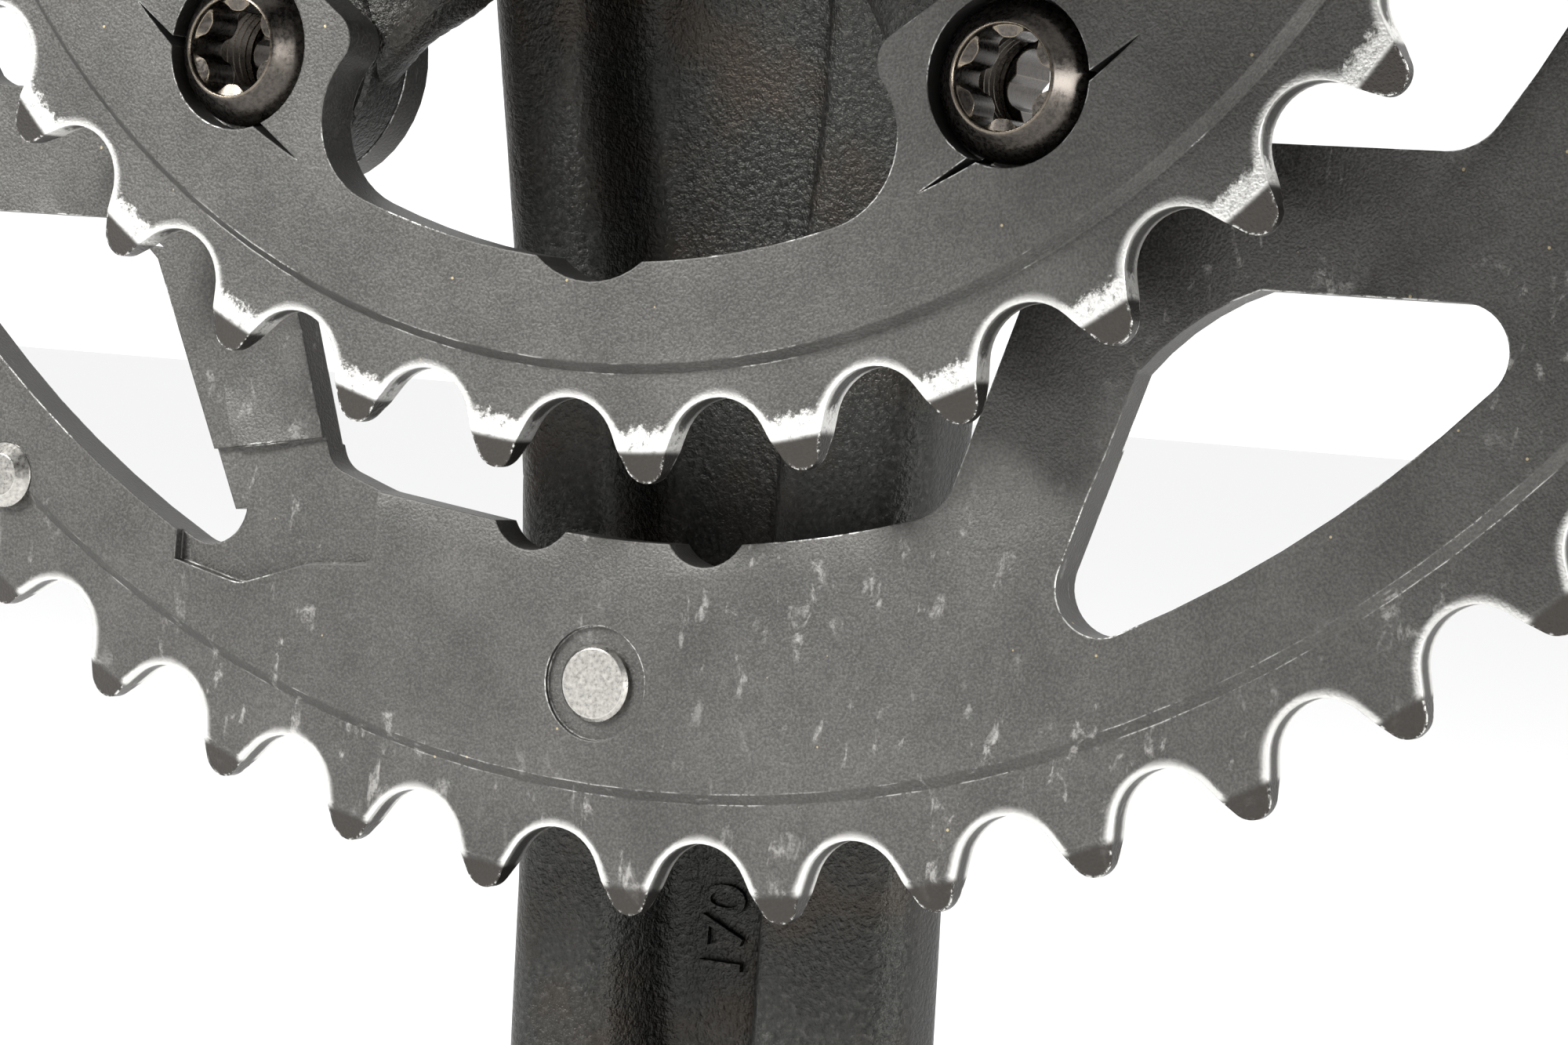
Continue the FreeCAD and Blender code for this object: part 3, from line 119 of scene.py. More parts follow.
def level(tree, value, low, high, to_low=0.0, to_high=1.0):
    """A value carried smoothly from one range to another, and held at its ends."""
    return add(tree, "MapRange", {"Value": value, "From Min": low, "From Max": high,
                                  "To Min": to_low, "To Max": to_high},
               interpolation_type="SMOOTHSTEP").outputs[0]


def times(tree, first, second):
    return add(tree, "Math", {0: first, 1: second}, operation="MULTIPLY").outputs[0]


def larger(tree, first, second):
    return add(tree, "Math", {0: first, 1: second}, operation="MAXIMUM").outputs[0]


def speckle(tree, mm, size_mm, detail=4.0, roughness=0.6):
    """Noise whose blobs are about a size in millimetres."""
    return add(tree, "TexNoise", {"Vector": mm, "Scale": 1 / size_mm, "Detail": detail,
                                  "Roughness": roughness}).outputs["Fac"]


def uneven(tree, value, low, high):
    """A roughness that follows a noise, evenly between two levels."""
    return add(tree, "MapRange", {"Value": value, "From Min": 0.3, "From Max": 0.7,
                                  "To Min": low, "To Max": high}).outputs[0]


def blasted_anodised_aluminium(name, teeth_from, facets_from, crown_wear, scuffs):
    """Machined plate, bead blasted and anodised: an even dark grey with a fine sandy grain.

    The chain has rubbed a bright band round the foot of every tooth, and handling has left
    scuffs and bare flecks along its edges. Distances from the spindle are in millimetres:
    teeth_from is the valleys' circle and facets_from is where the tips' chamfers start.
    """
    material, tree, shader, mm = start_material(name, Metallic=0.92)
    # beads of about 0.1 mm, drawn at 0.2 mm so that the grain shows
    grain = speckle(tree, mm, 0.2, 2.0, 0.5)
    cloud = speckle(tree, mm, 9.0, 3.0)
    tone = ramp(tree, grain, [(0.3, "#464543"), (0.5, "#4f4e4c"), (0.7, "#5b5a57")])
    shade = ramp(tree, cloud, [(0.3, 0.8), (0.7, 1.12)])
    shaded = add(tree, "Mix", {0: 1.0}, data_type="RGBA", blend_type="MULTIPLY")
    tree.links.new(tone, shaded.inputs[6])
    tree.links.new(shade, shaded.inputs[7])
    # distance from the spindle tells the teeth from the plate
    flat = add(tree, "VectorMath", {0: mm, 1: (1, 0, 1)}, operation="MULTIPLY").outputs[0]
    radius = add(tree, "VectorMath", {0: flat}, operation="LENGTH").outputs["Value"]
    toothed = level(tree, radius, teeth_from, teeth_from + 1.6)
    facet = level(tree, radius, facets_from - 0.5, facets_from + 0.3)
    plate = level(tree, radius, teeth_from + 1.6, teeth_from)
    body = level(tree, facet, 1.0, 0.0)
    ragged = speckle(tree, mm, 0.55, 5.0, 0.75)
    crown = level(tree, radius, facets_from - 3.4, facets_from - 0.8, 0.0, crown_wear)
    foot = worn_edge(tree, 1.3, 0.86, 0.985)
    near = add(tree, "Math", {0: foot, 1: crown}, operation="ADD").outputs[0]
    mottled = add(tree, "Math", {0: ragged, 1: 0.9, 2: near}, operation="MULTIPLY_ADD").outputs[0]
    rubbed = times(tree, times(tree, level(tree, mottled, 0.78, 1.05), toothed), body)
    patches = speckle(tree, mm, 7.0, 3.0)
    fine = times(tree, worn_edge(tree, 0.2, 0.9, 0.99), level(tree, patches, 0.5, 0.62))
    fine = times(tree, times(tree, fine, plate), level(tree, ragged, 0.4, 0.55))
    tips = times(tree, worn_edge(tree, 0.35, 0.9, 0.99), facet)
    tips = times(tree, tips, level(tree, ragged, 0.5, 0.6))
    wear = larger(tree, larger(tree, rubbed, fine), tips)
    # scuffs: smears a few millimetres long, where the chain has dropped against the plate
    drift = add(tree, "Mapping", {"Vector": mm, "Rotation": (0, math.radians(25), 0),
                                  "Scale": (0.55, 1, 0.28)}).outputs[0]
    smear = add(tree, "TexNoise", {"Vector": drift, "Scale": 1.0, "Detail": 5.0, "Roughness": 0.62,
                                   "Distortion": 0.6}).outputs["Fac"]
    where = level(tree, speckle(tree, mm, 22.0, 1.0), 0.46, 0.6)
    smeared = times(tree, level(tree, smear, 0.58, 0.69, 0.0, scuffs), where)
    smeared = times(tree, smeared, level(tree, ragged, 0.35, 0.6))
    flecks = add(tree, "TexVoronoi", {"Vector": mm, "Scale": 0.33}).outputs["Distance"]
    flecked = level(tree, flecks, 0.045, 0.03, 0.0, 0.8)
    marked = mix(tree, smeared, shaded.outputs[2], colour("#a8a6a2"))
    marked = mix(tree, flecked, marked, colour("#a89a78"))
    # painted shade: the tips' chamfer facets are darkened towards #35322f, standing in for the
    # shade that falls on them
    facet_shaded = mix(tree, level(tree, facet, 0.0, 1.0, 0.0, 0.85), marked, colour("#35322f"))
    worn = mix(tree, wear, facet_shaded, colour("#e4e3df"))
    tree.links.new(worn, shader.inputs["Base Color"])
    matt = level(tree, grain, 0.3, 0.7, 0.44, 0.56)
    rough = mix(tree, larger(tree, wear, facet), matt, (0.36, 0.36, 0.36, 1))
    tree.links.new(rough, shader.inputs["Roughness"])
    soft = add(tree, "Bevel", {"Radius": 0.2 * MM}, samples=4)
    bump = add(tree, "Bump", {"Height": grain, "Strength": 0.55, "Distance": 0.08 * MM,
                              "Normal": soft.outputs[0]})
    tree.links.new(bump.outputs[0], shader.inputs["Normal"])
    return material


def forged_black_aluminium():
    """A forged arm, shot blasted and anodised black: orange peel with bright points.

    It is coarser and darker than the machined plate beside it.
    """
    material, tree, shader, mm = start_material("forged_black_aluminium", Metallic=0.9)
    # shot of about 0.5 mm leaves dimples of that size
    peel = speckle(tree, mm, 0.42, 3.0, 0.55)
    grit = speckle(tree, mm, 0.16, 2.0, 0.5)
    cloud = speckle(tree, mm, 12.0, 3.0)
    tone = ramp(tree, peel, [(0.3, "#262625"), (0.55, "#333331"), (0.75, "#474644")])
    brown = mix(tree, level(tree, cloud, 0.45, 0.7, 0.0, 0.6), tone, colour("#3a322b"))
    tree.links.new(brown, shader.inputs["Base Color"])
    tree.links.new(level(tree, peel, 0.3, 0.7, 0.34, 0.5), shader.inputs["Roughness"])
    height = add(tree, "Math", {0: grit, 1: 0.35, 2: peel}, operation="MULTIPLY_ADD").outputs[0]
    bump = add(tree, "Bump", {"Height": height, "Strength": 0.9, "Distance": 0.22 * MM})
    tree.links.new(bump.outputs[0], shader.inputs["Normal"])
    return material


def plain_metal(name, tone, light, rough, edge_tone="#b9b7b2"):
    """Turned or ground metal: fine mottling from cutting, and rims rubbed bright."""
    material, tree, shader, mm = start_material(name, Metallic=1.0)
    mottle = speckle(tree, mm, 1 / 3)
    base = ramp(tree, mottle, [(0.35, tone), (0.7, light)])
    edge = worn_edge(tree, 0.15, 0.92, 0.995)
    tree.links.new(mix(tree, edge, base, colour(edge_tone)), shader.inputs["Base Color"])
    tree.links.new(uneven(tree, mottle, rough - 0.07, rough + 0.1), shader.inputs["Roughness"])
    soft = add(tree, "Bevel", {"Radius": 0.12 * MM}, samples=4)
    bump = add(tree, "Bump", {"Height": mottle, "Strength": 0.15, "Distance": 0.03 * MM,
                              "Normal": soft.outputs[0]})
    tree.links.new(bump.outputs[0], shader.inputs["Normal"])
    return material


def moulded(name, tone, light, rough, grain_mm):
    """Moulded plastic or rubber: an even colour with the faint grain of its mould."""
    material, tree, shader, mm = start_material(name, IOR=1.5)
    grain = speckle(tree, mm, grain_mm, 3.0, 0.5)
    tree.links.new(ramp(tree, grain, [(0.3, tone), (0.7, light)]), shader.inputs["Base Color"])
    tree.links.new(uneven(tree, grain, rough - 0.06, rough + 0.06), shader.inputs["Roughness"])
    bump = add(tree, "Bump", {"Height": grain, "Strength": 0.2, "Distance": 0.04 * MM})
    tree.links.new(bump.outputs[0], shader.inputs["Normal"])
    return material


FINISHES = {
    "ring_black": blasted_anodised_aluminium("blasted_anodised_large_ring", 98.6, 104.9, 0.12, 0.6),
    "forged_black": forged_black_aluminium(),
    "cup_black": plain_metal("turned_black_anodised_aluminium", "#1d1d20", "#2b2b2e", 0.38),
    "spindle_steel": plain_metal("ground_steel_tube", "#8f8f8f", "#a8a8a8", 0.28),
    "bolt_steel": plain_metal("blackened_steel", "#3b3835", "#57524d", 0.27, edge_tone="#8d8271"),
    "bright_steel": plain_metal("bright_riveted_steel", "#8d8b87", "#b4b1ab", 0.3),
    "bearing_steel": plain_metal("polished_bearing_steel", "#b4b4b6", "#c6c6c8", 0.12),
    "plug_aluminium": plain_metal("turned_anodised_plug", "#232325", "#333335", 0.35),
    "cage_nylon": moulded("natural_nylon", "#b4a98c", "#c2b89d", 0.5, 0.8),
    "seal_rubber": moulded("nitrile_rubber", "#131313", "#1c1c1c", 0.7, 0.4),
    "black_plastic": moulded("glass_filled_black_nylon", "#1a1a1a", "#252525", 0.5, 0.35),
}
# the inner ring's teeth start nearer to the spindle, and its faces have no scuffs
SMALL_RING_FINISH = blasted_anodised_aluminium("blasted_anodised_small_ring", 67.2, 72.5, 0.55, 0.0)


# neighbouring faces that turn by less than this belong to one curved surface
CREASE_DEGREES = 14


def crisp_normals(mesh, degrees):
    """Shade flats flat and curves smooth: average face normals only across gentle edges.

    The points stay where they are; only the shading changes.
    """
    loops = len(mesh.loops)
    corner = np.empty(loops, np.int64)
    mesh.loops.foreach_get("vertex_index", corner)
    spots = np.empty(len(mesh.vertices) * 3)
    mesh.vertices.foreach_get("co", spots)
    # points less than a micron apart are one place
    _, same = np.unique(np.round(spots.reshape(-1, 3), 6), axis=0, return_inverse=True)
    place_of = same.reshape(-1)[corner]
    faces = len(mesh.polygons)
    sides = np.empty(faces, np.int64)
    mesh.polygons.foreach_get("loop_total", sides)
    normals = np.empty(faces * 3)
    mesh.polygons.foreach_get("normal", normals)
    normals = normals.reshape(-1, 3)
    areas = np.empty(faces)
    mesh.polygons.foreach_get("area", areas)
    face_of = np.repeat(np.arange(faces), sides)
    order = np.argsort(place_of, kind="stable")
    ranked = place_of[order]
    starts = np.searchsorted(ranked, ranked, side="left")
    counts = np.searchsorted(ranked, ranked, side="right") - starts
    here = np.repeat(np.arange(loops), counts)
    offset = np.arange(len(here)) - np.repeat(np.cumsum(counts) - counts, counts)
    mine = face_of[order[here]]
    other = face_of[order[np.repeat(starts, counts) + offset]]
    gentle = (normals[mine] * normals[other]).sum(1) > math.cos(math.radians(degrees))
    pull = normals[other] * (areas[other] * gentle)[:, None]
    smooth = np.zeros((loops, 3))
    for axis in range(3):
        smooth[order, axis] = np.bincount(here, pull[:, axis], loops)
    smooth /= np.maximum(np.linalg.norm(smooth, axis=1), 1e-12)[:, None]
    mesh.polygons.foreach_set("use_smooth", [True] * faces)
    mesh.normals_split_custom_set(smooth.tolist())


def finish_cad_nodes():
    """Give each CAD node the finish that its slot in the record names, and crisp shading."""
    for part in frame["record"]["subparts"]:
        shown = frame["nodes"][part["node"]]
        crisp_normals(shown.data, CREASE_DEGREES)
        shown.data.materials.clear()
        shown.data.materials.append(FINISHES[part["material_slot"]])
    inner = frame["nodes"]["small_chainring"].data.materials
    inner.clear()
    inner.append(SMALL_RING_FINISH)


# ---- mesh tools ---------------------------------------------------------------------------

def new_piece(name, verts_mm, faces):
    """A mesh object from millimetre points."""
    mesh = bpy.data.meshes.new(name)
    mesh.from_pydata([tuple(c * MM for c in spot) for spot in verts_mm], [], faces)
    piece = bpy.data.objects.new(name, mesh)
    bpy.context.collection.objects.link(piece)
    face_outwards(piece)
    return piece


def face_outwards(piece):
    """Point every face out of its own closed shell."""
    work = bmesh.new()
    work.from_mesh(piece.data)
    bmesh.ops.recalc_face_normals(work, faces=work.faces)
    work.to_mesh(piece.data)
    work.free()


def lofted(name, rings):
    """A closed solid through rings of equal length, capped at both ends."""
    count = len(rings[0])
    verts = [spot for ring in rings for spot in ring]
    faces = []
    for row in range(len(rings) - 1):
        for col in range(count):
            after = (col + 1) % count
            faces.append((row * count + col, row * count + after,
                          (row + 1) * count + after, (row + 1) * count + col))
    faces.append(tuple(range(count)))
    faces.append(tuple(range((len(rings) - 1) * count, len(rings) * count)))
    return new_piece(name, verts, faces)


def turned(name, profile, centre=(0, 0), count=96, lobe=None):
    """A profile of (radius, y) points spun about an axis along Y; lobe reshapes some radii."""
    verts = []
    for step in range(count):
        turn = math.tau * step / count
        for index, (radius, y) in enumerate(profile):
            reach = lobe(index, radius, turn) if lobe else radius
            verts.append((centre[0] + reach * math.cos(turn), y,
                          centre[1] + reach * math.sin(turn)))
    size = len(profile)
    faces = []
    for step in range(count):
        after = (step + 1) % count
        for index in range(size):
            follow = (index + 1) % size
            faces.append((step * size + index, step * size + follow,
                          after * size + follow, after * size + index))
    piece = new_piece(name, verts, faces)
    tidy_poles(piece)
    return piece


def tidy_poles(piece):
    """Merge points that a profile put on its own axis, and drop the faces that vanish with them."""
    work = bmesh.new()
    work.from_mesh(piece.data)
    bmesh.ops.remove_doubles(work, verts=work.verts, dist=1e-7)
    bmesh.ops.dissolve_degenerate(work, edges=work.edges, dist=1e-7)
    bmesh.ops.recalc_face_normals(work, faces=work.faces)
    work.to_mesh(piece.data)
    work.free()


def rod(name, radius, low, high, centre=(0, 0), count=72):
    """A plain cylinder along Y, for cutting with."""
    rings = []
    for y in (low, high):
        rings.append([(centre[0] + radius * math.cos(math.tau * k / count), y,
                       centre[1] + radius * math.sin(math.tau * k / count)) for k in range(count)])
    return lofted(name, rings)


def block(name, low, high):
    """A box between two corners, for cutting with."""
    ring = [(low[0], low[1]), (high[0], low[1]), (high[0], high[1]), (low[0], high[1])]
    return lofted(name, [[(x, y, z) for x, y in ring] for z in (low[2], high[2])])


def join(pieces):
    """Gather several shells in one object; the first piece keeps its name."""
    first = pieces[0]
    work = bmesh.new()
    for piece in pieces:
        work.from_mesh(piece.data)
    work.to_mesh(first.data)
    work.free()
    for piece in pieces[1:]:
        bpy.data.objects.remove(piece, do_unlink=True)
    return first


def apply_modifiers(piece):
    """Fix a piece's modifiers into its mesh."""
    seen = piece.evaluated_get(bpy.context.evaluated_depsgraph_get())
    baked = bpy.data.meshes.new_from_object(seen)
    piece.modifiers.clear()
    piece.data = baked


def combine(piece, other, operation):
    """An exact boolean with another object, which is then removed."""
    step = piece.modifiers.new(operation, "BOOLEAN")
    step.operation = operation
    step.solver = "EXACT"
    step.object = other
    apply_modifiers(piece)
    bpy.data.objects.remove(other, do_unlink=True)


def forge(piece, voxel_mm, rounds):
    """Melt overlapping shells into one skin with soft fillets, as forging does."""
    melt = piece.modifiers.new("melt", "REMESH")
    melt.mode = "VOXEL"
    melt.voxel_size = voxel_mm * MM
    soften = piece.modifiers.new("soften", "SMOOTH")
    soften.factor = 0.5
    soften.iterations = rounds
    apply_modifiers(piece)


def smooth_by_angle(piece, degrees):
    """Shade smooth except across edges sharper than an angle."""
    mesh = piece.data
    mesh.polygons.foreach_set("use_smooth", [True] * len(mesh.polygons))
    mesh.set_sharp_from_angle(angle=math.radians(degrees))


def blend(low, high, value):
    """0 below low, 1 above high and an even S between."""
    share = min(max((value - low) / (high - low), 0), 1)
    return share * share * (3 - 2 * share)


def along(table, place):
    """A value between the (place, value) rows of a table, on smooth steps."""
    for (start, first), (end, second) in zip(table, table[1:]):
        if place <= end:
            return first + (second - first) * min(max((place - start) / (end - start), 0), 1)
    return table[-1][1]


# ---- arms ---------------------------------------------------------------------------------

ARM_LENGTH = 170
EYE_RADIUS = 17
PEDAL_THREAD_RADIUS = 7.144
SPINDLE_RADIUS = 12
SLIDING_GAP = 0.02
BOLT_CIRCLE = 55
BOLT_ANGLES = [math.radians(-54 + 72 * index) for index in range(5)]
RING_SEAT_RADIUS = 9.5
SMALL_RING_SEAT = 41.45
LARGE_RING_SEAT = 46.35
SEAT_CHAMFER = 0.3
VOXEL = 0.75
SOFTENING_ROUNDS = 3
SMOOTH_DEGREES = 32
CLAMP_SLOT_HALF = 1.2
PINCH_BOLT_DROP = 21

# distance down the arm, in millimetres, against a length in millimetres
HALF_WIDTH = [(0, 21.5), (38, 20.8), (57, 19.0), (75, 17.8), (119, 17.5), (170, 17.1)]
BACK_DEPTH = [(0, 48.0), (20, 50.0), (38, 52.4), (57, 54.8), (75, 56.8), (105, 60.3), (119, 60.8),
              (150, 62.3), (170, 62.3)]
FRONT_DEPTH = [(0, 64.0), (38, 67.0), (75, 69.8), (119, 72.6), (150, 74.1), (170, 74.3)]
CHANNEL_MIDDLE = [(20, 1.0), (45, 1.0), (75, 1.5), (115, 1.3), (150, 0.8)]
CHANNEL_HALF = [(20, 12.0), (45, 11.0), (60, 9.2), (75, 8.0), (115, 7.2), (150, 5.0)]


def rounded_in(edge_distance, radius):
    """How far a rounded edge falls away, this near to the edge."""
    near = max(radius - edge_distance, 0)
    return radius - math.sqrt(max(radius * radius - near * near, 0))


def arm_section(place, side, up, channelled):
    """The outline of an arm's cross-section, square to the arm at a distance from the spindle."""
    half = along(HALF_WIDTH, place)
    if place > ARM_LENGTH:
        half *= math.sqrt(max(1 - ((place - ARM_LENGTH) / EYE_RADIUS) ** 2, 0.0004))
    back = along(BACK_DEPTH, place)
    front = along(FRONT_DEPTH, place)
    back_round = min(3.4 - 1.0 * blend(140, 165, place), half)
    front_round = min(4.6 - 1.2 * blend(140, 165, place), half)
    depth = 6.6 * blend(14, 32, place) * (1 - blend(136, 152, place)) if channelled else 0
    middle = along(CHANNEL_MIDDLE, place) if channelled else 0
    channel = along(CHANNEL_HALF, place)
    outline = []
    steps = 56
    for index in range(steps + 1):
        x = -half * math.cos(math.pi * index / steps)
        fall = rounded_in(half - abs(x), back_round)
        sink = depth * (1 - blend(channel - 3.4, channel, abs(x - middle)))
        outline.append((x, back + fall + sink))
    for index in range(steps // 2 + 1):
        x = half * math.cos(math.pi * index / (steps // 2))
        crown = 0.5 * (x / half) ** 2
        outline.append((x, front - rounded_in(half - abs(x), front_round) - crown))
    return [(x, side * y, up * place) for x, y in outline]


def blade(name, side, up, channelled):
    """The tapering blade, from inside the hub to the far side of the pedal eye."""
    places = [index * 2.5 for index in range(68)]
    places += [ARM_LENGTH + EYE_RADIUS * math.sin(math.pi / 2 * index / 14) for index in range(15)]
    return lofted(name, [arm_section(place, side, up, channelled) for place in places])


def hub(name, side, radius, inner, outer):
    """The round boss at the spindle end."""
    profile = [(0, inner), (radius - 2, inner), (radius - 0.6, inner + 0.6), (radius, inner + 2),
               (radius, outer - 3.5), (radius - 1, outer - 1.4), (radius - 3.4, outer), (0, outer)]
    return turned(name, [(r, side * y) for r, y in profile], count=64)


def spider_leg(name, angle):
    """One leg of the spider, swelling from the hub and narrowing to its ring seat."""
    rows = [
        # distance out, half width, inboard depth, outboard depth
        (12, 11.5, 47.2, 60.5), (22, 10.6, 46.9, 60.0), (30, 9.8, 45.2, 57.6),
        (38, 9.3, 43.6, 53.8), (44, 9.0, 42.2, 50.2), (47, 8.9, 41.7, 46.9),
        (52, 8.6, 41.5, 46.4), (57, 7.4, 41.5, 46.4),
    ]
    rings = []
    for reach, half, inboard, outboard in rows:
        ring = []
        for step in range(32):
            turn = math.tau * step / 32
            # a rounded box: a circle pushed out towards its corners
            c, s = math.cos(turn), math.sin(turn)
            wide = math.copysign(abs(c) ** 0.45, c) * half
            deep = math.copysign(abs(s) ** 0.45, s) * (outboard - inboard) / 2
            deep += (inboard + outboard) / 2
            ring.append((reach * math.cos(angle) - wide * math.sin(angle), -deep,
                         reach * math.sin(angle) + wide * math.cos(angle)))
        rings.append(ring)
    return lofted(name, rings)


def on_bolt_circle(angle):
    return (BOLT_CIRCLE * math.cos(angle), BOLT_CIRCLE * math.sin(angle))


def right_arm():
    """The drive-side arm and its spider, melted into one forging, then bored and faced."""
    arm = join([blade("right_arm_forging", -1, -1, True), hub("hub", -1, 23, 46, 64)]
               + [spider_leg("leg", angle) for angle in BOLT_ANGLES])
    forge(arm, VOXEL, SOFTENING_ROUNDS)
    # a flat round seat at each leg's end holds both rings' tabs apart
    flat = RING_SEAT_RADIUS - SEAT_CHAMFER
    seat = [(0, -SMALL_RING_SEAT), (flat, -SMALL_RING_SEAT),
            (RING_SEAT_RADIUS, -SMALL_RING_SEAT - SEAT_CHAMFER),
            (RING_SEAT_RADIUS, -LARGE_RING_SEAT + SEAT_CHAMFER),
            (flat, -LARGE_RING_SEAT), (0, -LARGE_RING_SEAT)]
    seats = join([turned("seat", seat, on_bolt_circle(angle)) for angle in BOLT_ANGLES])
    combine(arm, seats, "UNION")
    cuts = [rod("bore", SPINDLE_RADIUS + SLIDING_GAP, -80, -40),
            rod("pedal_thread", PEDAL_THREAD_RADIUS, -90, -50, (0, -ARM_LENGTH))]
    cuts += [rod("bolt_hole", 5.1, -60, -30, on_bolt_circle(angle)) for angle in BOLT_ANGLES]
    combine(arm, join(cuts), "DIFFERENCE")
    smooth_by_angle(arm, SMOOTH_DEGREES)
    return arm


def left_arm():
    """The split-hub arm that two bolts clamp on the spindle."""
    # one ear on each side of the clamp's slot
    ears = [block("ear", (low, 47.2, -28), (high, 65, -4))
            for low, high in ((-11.5, -CLAMP_SLOT_HALF), (CLAMP_SLOT_HALF, 11.5))]
    arm = join([blade("left_arm_forging", 1, 1, False), hub("hub", 1, 21.5, 46, 66)] + ears)
    forge(arm, VOXEL, SOFTENING_ROUNDS)
    cuts = [rod("bore", SPINDLE_RADIUS + SLIDING_GAP, 40, 80),
            rod("pedal_thread", PEDAL_THREAD_RADIUS, 50, 90, (0, ARM_LENGTH))]
    combine(arm, join(cuts), "DIFFERENCE")
    combine(arm, block("slot", (-CLAMP_SLOT_HALF, 40, -40), (CLAMP_SLOT_HALF, 80, 0)), "DIFFERENCE")
    combine(arm, rod("cap_recess", 13.7, 64, 80), "DIFFERENCE")
    # the two pinch bolts lie across the slot and point opposite ways
    for along_spindle, way in ((51.2, 1), (60.8, -1)):
        shank = rod("shank", 3, -20, 20, count=48)
        seat = rod("seat", 5.2, 9.3, 20, count=48)
        for tool in (shank, seat):
            tool.data.transform(Matrix.Rotation(math.radians(-90 * way), 4, "Z"))
            tool.data.transform(Matrix.Translation((0, along_spindle * MM, -PINCH_BOLT_DROP * MM)))
            combine(arm, tool, "DIFFERENCE")
    smooth_by_angle(arm, SMOOTH_DEGREES)
    return arm


def size_mark():
    """The arm's length in millimetres, raised from the floor of its channel."""
    text = bpy.data.curves.new("length_mark", "FONT")
    text.body = "170"
    text.size = 5.2 * MM
    text.extrude = 0.32 * MM
    text.bevel_depth = 0.06 * MM
    text.align_x = "CENTER"
    text.align_y = "CENTER"
    holder = bpy.data.objects.new("length_mark", text)
    bpy.context.collection.objects.link(holder)
    seen = holder.evaluated_get(bpy.context.evaluated_depsgraph_get())
    raised = bpy.data.meshes.new_from_object(seen)
    bpy.data.objects.remove(holder, do_unlink=True)
    piece = bpy.data.objects.new("length_mark", raised)
    bpy.context.collection.objects.link(piece)
    # facing +Y, and reading along the arm
    raised.transform(Matrix.Rotation(math.radians(-90), 4, "X"))
    raised.transform(Matrix.Rotation(math.radians(-90), 4, "Y"))
    raised.transform(Matrix.Translation((0.6 * MM, -66.95 * MM, -110 * MM)))
    return piece


# ---- chainring bolts ----------------------------------------------------------------------

NUT_END = 47.35
THREAD_ROOT = 3.9
THREAD_CREST = 3.52
THREAD_PITCH = 0.8
THREAD_FROM = 40.7


def six_lobes(radius, turn, swing):
    """A six-lobed outline: broad round lobes and narrower round ridges between them."""
    return radius + swing * math.tanh(1.7 * math.cos(6 * turn)) / math.tanh(1.7)


def chainring_nut(name, angle):
    """A sleeve nut with a coned head and a hole, six-lobed at the mouth and then threaded."""
    profile = [(5.0, NUT_END), (5.0, 39.75), (5.8, 39.75), (5.8, 38.75), (5.72, 38.55), (5.5, 38.3),
               (4.2, 36.85), (4.0, 36.55), (3.86, 36.42), (3.76, 36.4), (3.68, 36.5), (3.66, 36.9)]
    lobed_from = len(profile)
    profile += [(3.2, 37.1), (3.2, 40.4)]
    lobed_to = len(profile)
    profile += [(3.75, 40.5), (3.85, 40.6)]
    depth = THREAD_FROM
    # the last whole turn ends short of the nut's end
    while depth + THREAD_PITCH < NUT_END + 0.05:
        profile += [(THREAD_CREST, depth + 0.25), (THREAD_CREST, depth + 0.4),
                    (THREAD_ROOT, depth + 0.65), (THREAD_ROOT, depth + 0.75)]
        depth += THREAD_PITCH
    profile.append((THREAD_ROOT, NUT_END))

    def lobe(index, radius, turn):
        return six_lobes(radius, turn, 0.42) if lobed_from <= index < lobed_to else radius

    nut = turned(name, [(r, -y) for r, y in profile], on_bolt_circle(angle), 120, lobe)
    smooth_by_angle(nut, 35)
    return nut


# ---- studio -------------------------------------------------------------------------------

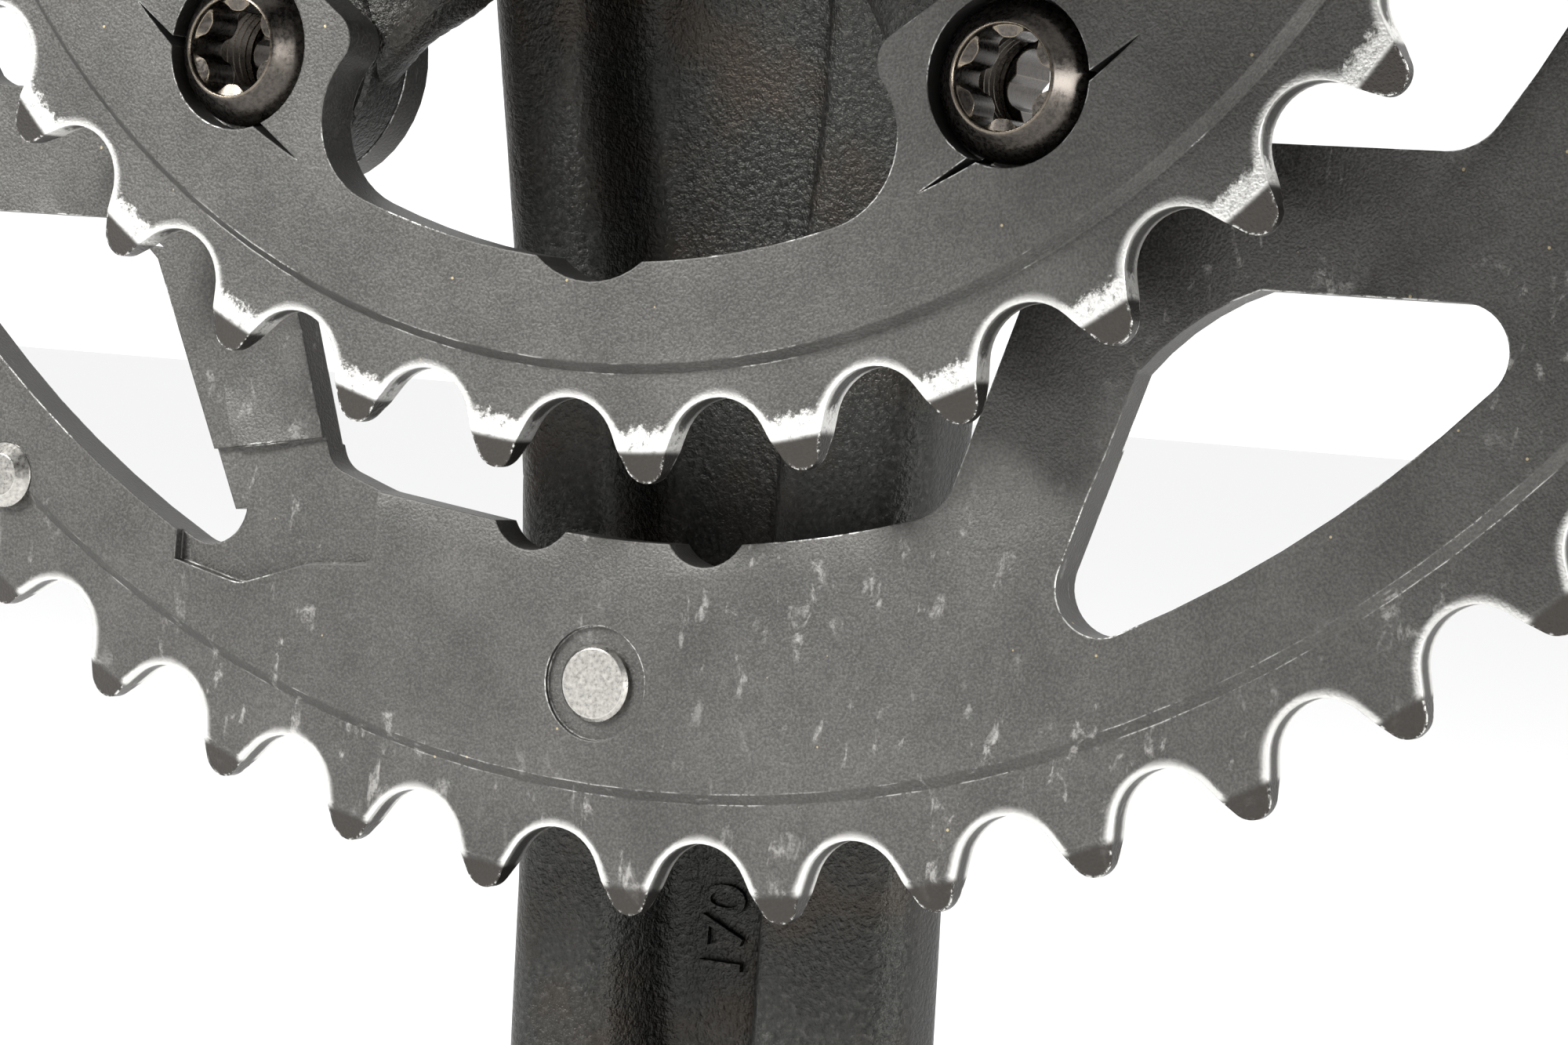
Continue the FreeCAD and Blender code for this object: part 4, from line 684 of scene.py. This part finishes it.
def studio():
    """A pale floor, a bright even surround and two soft lights."""
    mesh = bpy.data.meshes.new("floor")
    reach = 12
    # a millimetre below the lower arm's end
    low = -0.188
    corners = [(x, y, low) for x, y in ((-reach, -reach), (reach, -reach),
                                        (reach, reach), (-reach, reach))]
    mesh.from_pydata(corners, [], [(0, 1, 2, 3)])
    floor = bpy.data.objects.new("floor", mesh)
    bpy.context.collection.objects.link(floor)
    paper = bpy.data.materials.new("matt_white_paper")
    paper.use_nodes = True
    shader = paper.node_tree.nodes["Principled BSDF"]
    shader.inputs["Base Color"].default_value = colour("#f2f2f2")
    shader.inputs["Roughness"].default_value = 0.9
    mesh.materials.append(paper)
    world = bpy.data.worlds.new("studio")
    world.use_nodes = True
    sky = world.node_tree
    # brightest beyond the outboard side and above, and dimmer on the inboard side
    way = add(sky, "TexCoord").outputs["Generated"]
    lean = add(sky, "VectorMath", {0: way, 1: (0.3, -0.9, 0.3)},
               operation="DOT_PRODUCT").outputs["Value"]
    glow = level(sky, lean, -0.75, 0.25, 0.32, 1.2)
    sky.nodes["Background"].inputs["Color"].default_value = colour("#ffffff")
    sky.links.new(glow, sky.nodes["Background"].inputs["Strength"])
    bpy.context.scene.world = world
    bpy.context.scene.view_settings.view_transform = "Standard"
    rings = Vector((0, -0.05, -0.07))
    for name, spot, wide, watts in (
        ("key", (0.42, 0.55, 0.42), 0.32, 15),
        ("side", (-0.75, 0.1, -0.02), 0.3, 5),
    ):
        lamp = bpy.data.lights.new(name, "AREA")
        lamp.size = wide
        lamp.energy = watts
        holder = bpy.data.objects.new(name, lamp)
        holder.location = spot
        holder.rotation_euler = (rings - Vector(spot)).to_track_quat("-Z", "Y").to_euler()
        bpy.context.collection.objects.link(holder)


def camera():
    """A long lens on the inboard side, close to the rings, with the picture's sides level."""
    right = Vector((-0.87580364, -0.47650472, 0.07688449))
    down = Vector((-0.08422322, -0.00597463, -0.996429))
    ahead = Vector((0.47526248, -0.87915161, -0.03490016))
    lens = bpy.data.cameras.new("camera")
    lens.sensor_width = 36
    lens.lens = 99.75
    lens.clip_start = 0.01
    holder = bpy.data.objects.new("camera", lens)
    turn = Matrix((right, -down, -ahead)).transposed()
    holder.matrix_world = Matrix.Translation((-0.16297, 0.23138, -0.06560)) @ turn.to_4x4()
    bpy.context.collection.objects.link(holder)
    bpy.context.scene.camera = holder


def place(piece, body, slot, *nodes):
    """Give a piece its finish, the body that it moves with and the CAD nodes it stands for."""
    piece.data.materials.clear()
    piece.data.materials.append(FINISHES[slot])
    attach(piece, body)
    if nodes:
        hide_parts(*nodes)


finish_cad_nodes()
arm = join([right_arm(), size_mark()])
smooth_by_angle(arm, 32)
place(arm, "crank", "forged_black", "right_crank_arm")
place(left_arm(), "crank", "forged_black", "left_crank_arm")
nuts = join([chainring_nut("chainring_sleeve_nuts", angle) for angle in BOLT_ANGLES])
smooth_by_angle(nuts, 35)
place(nuts, "crank", "bolt_steel", "chainring_nuts")
studio()
camera()
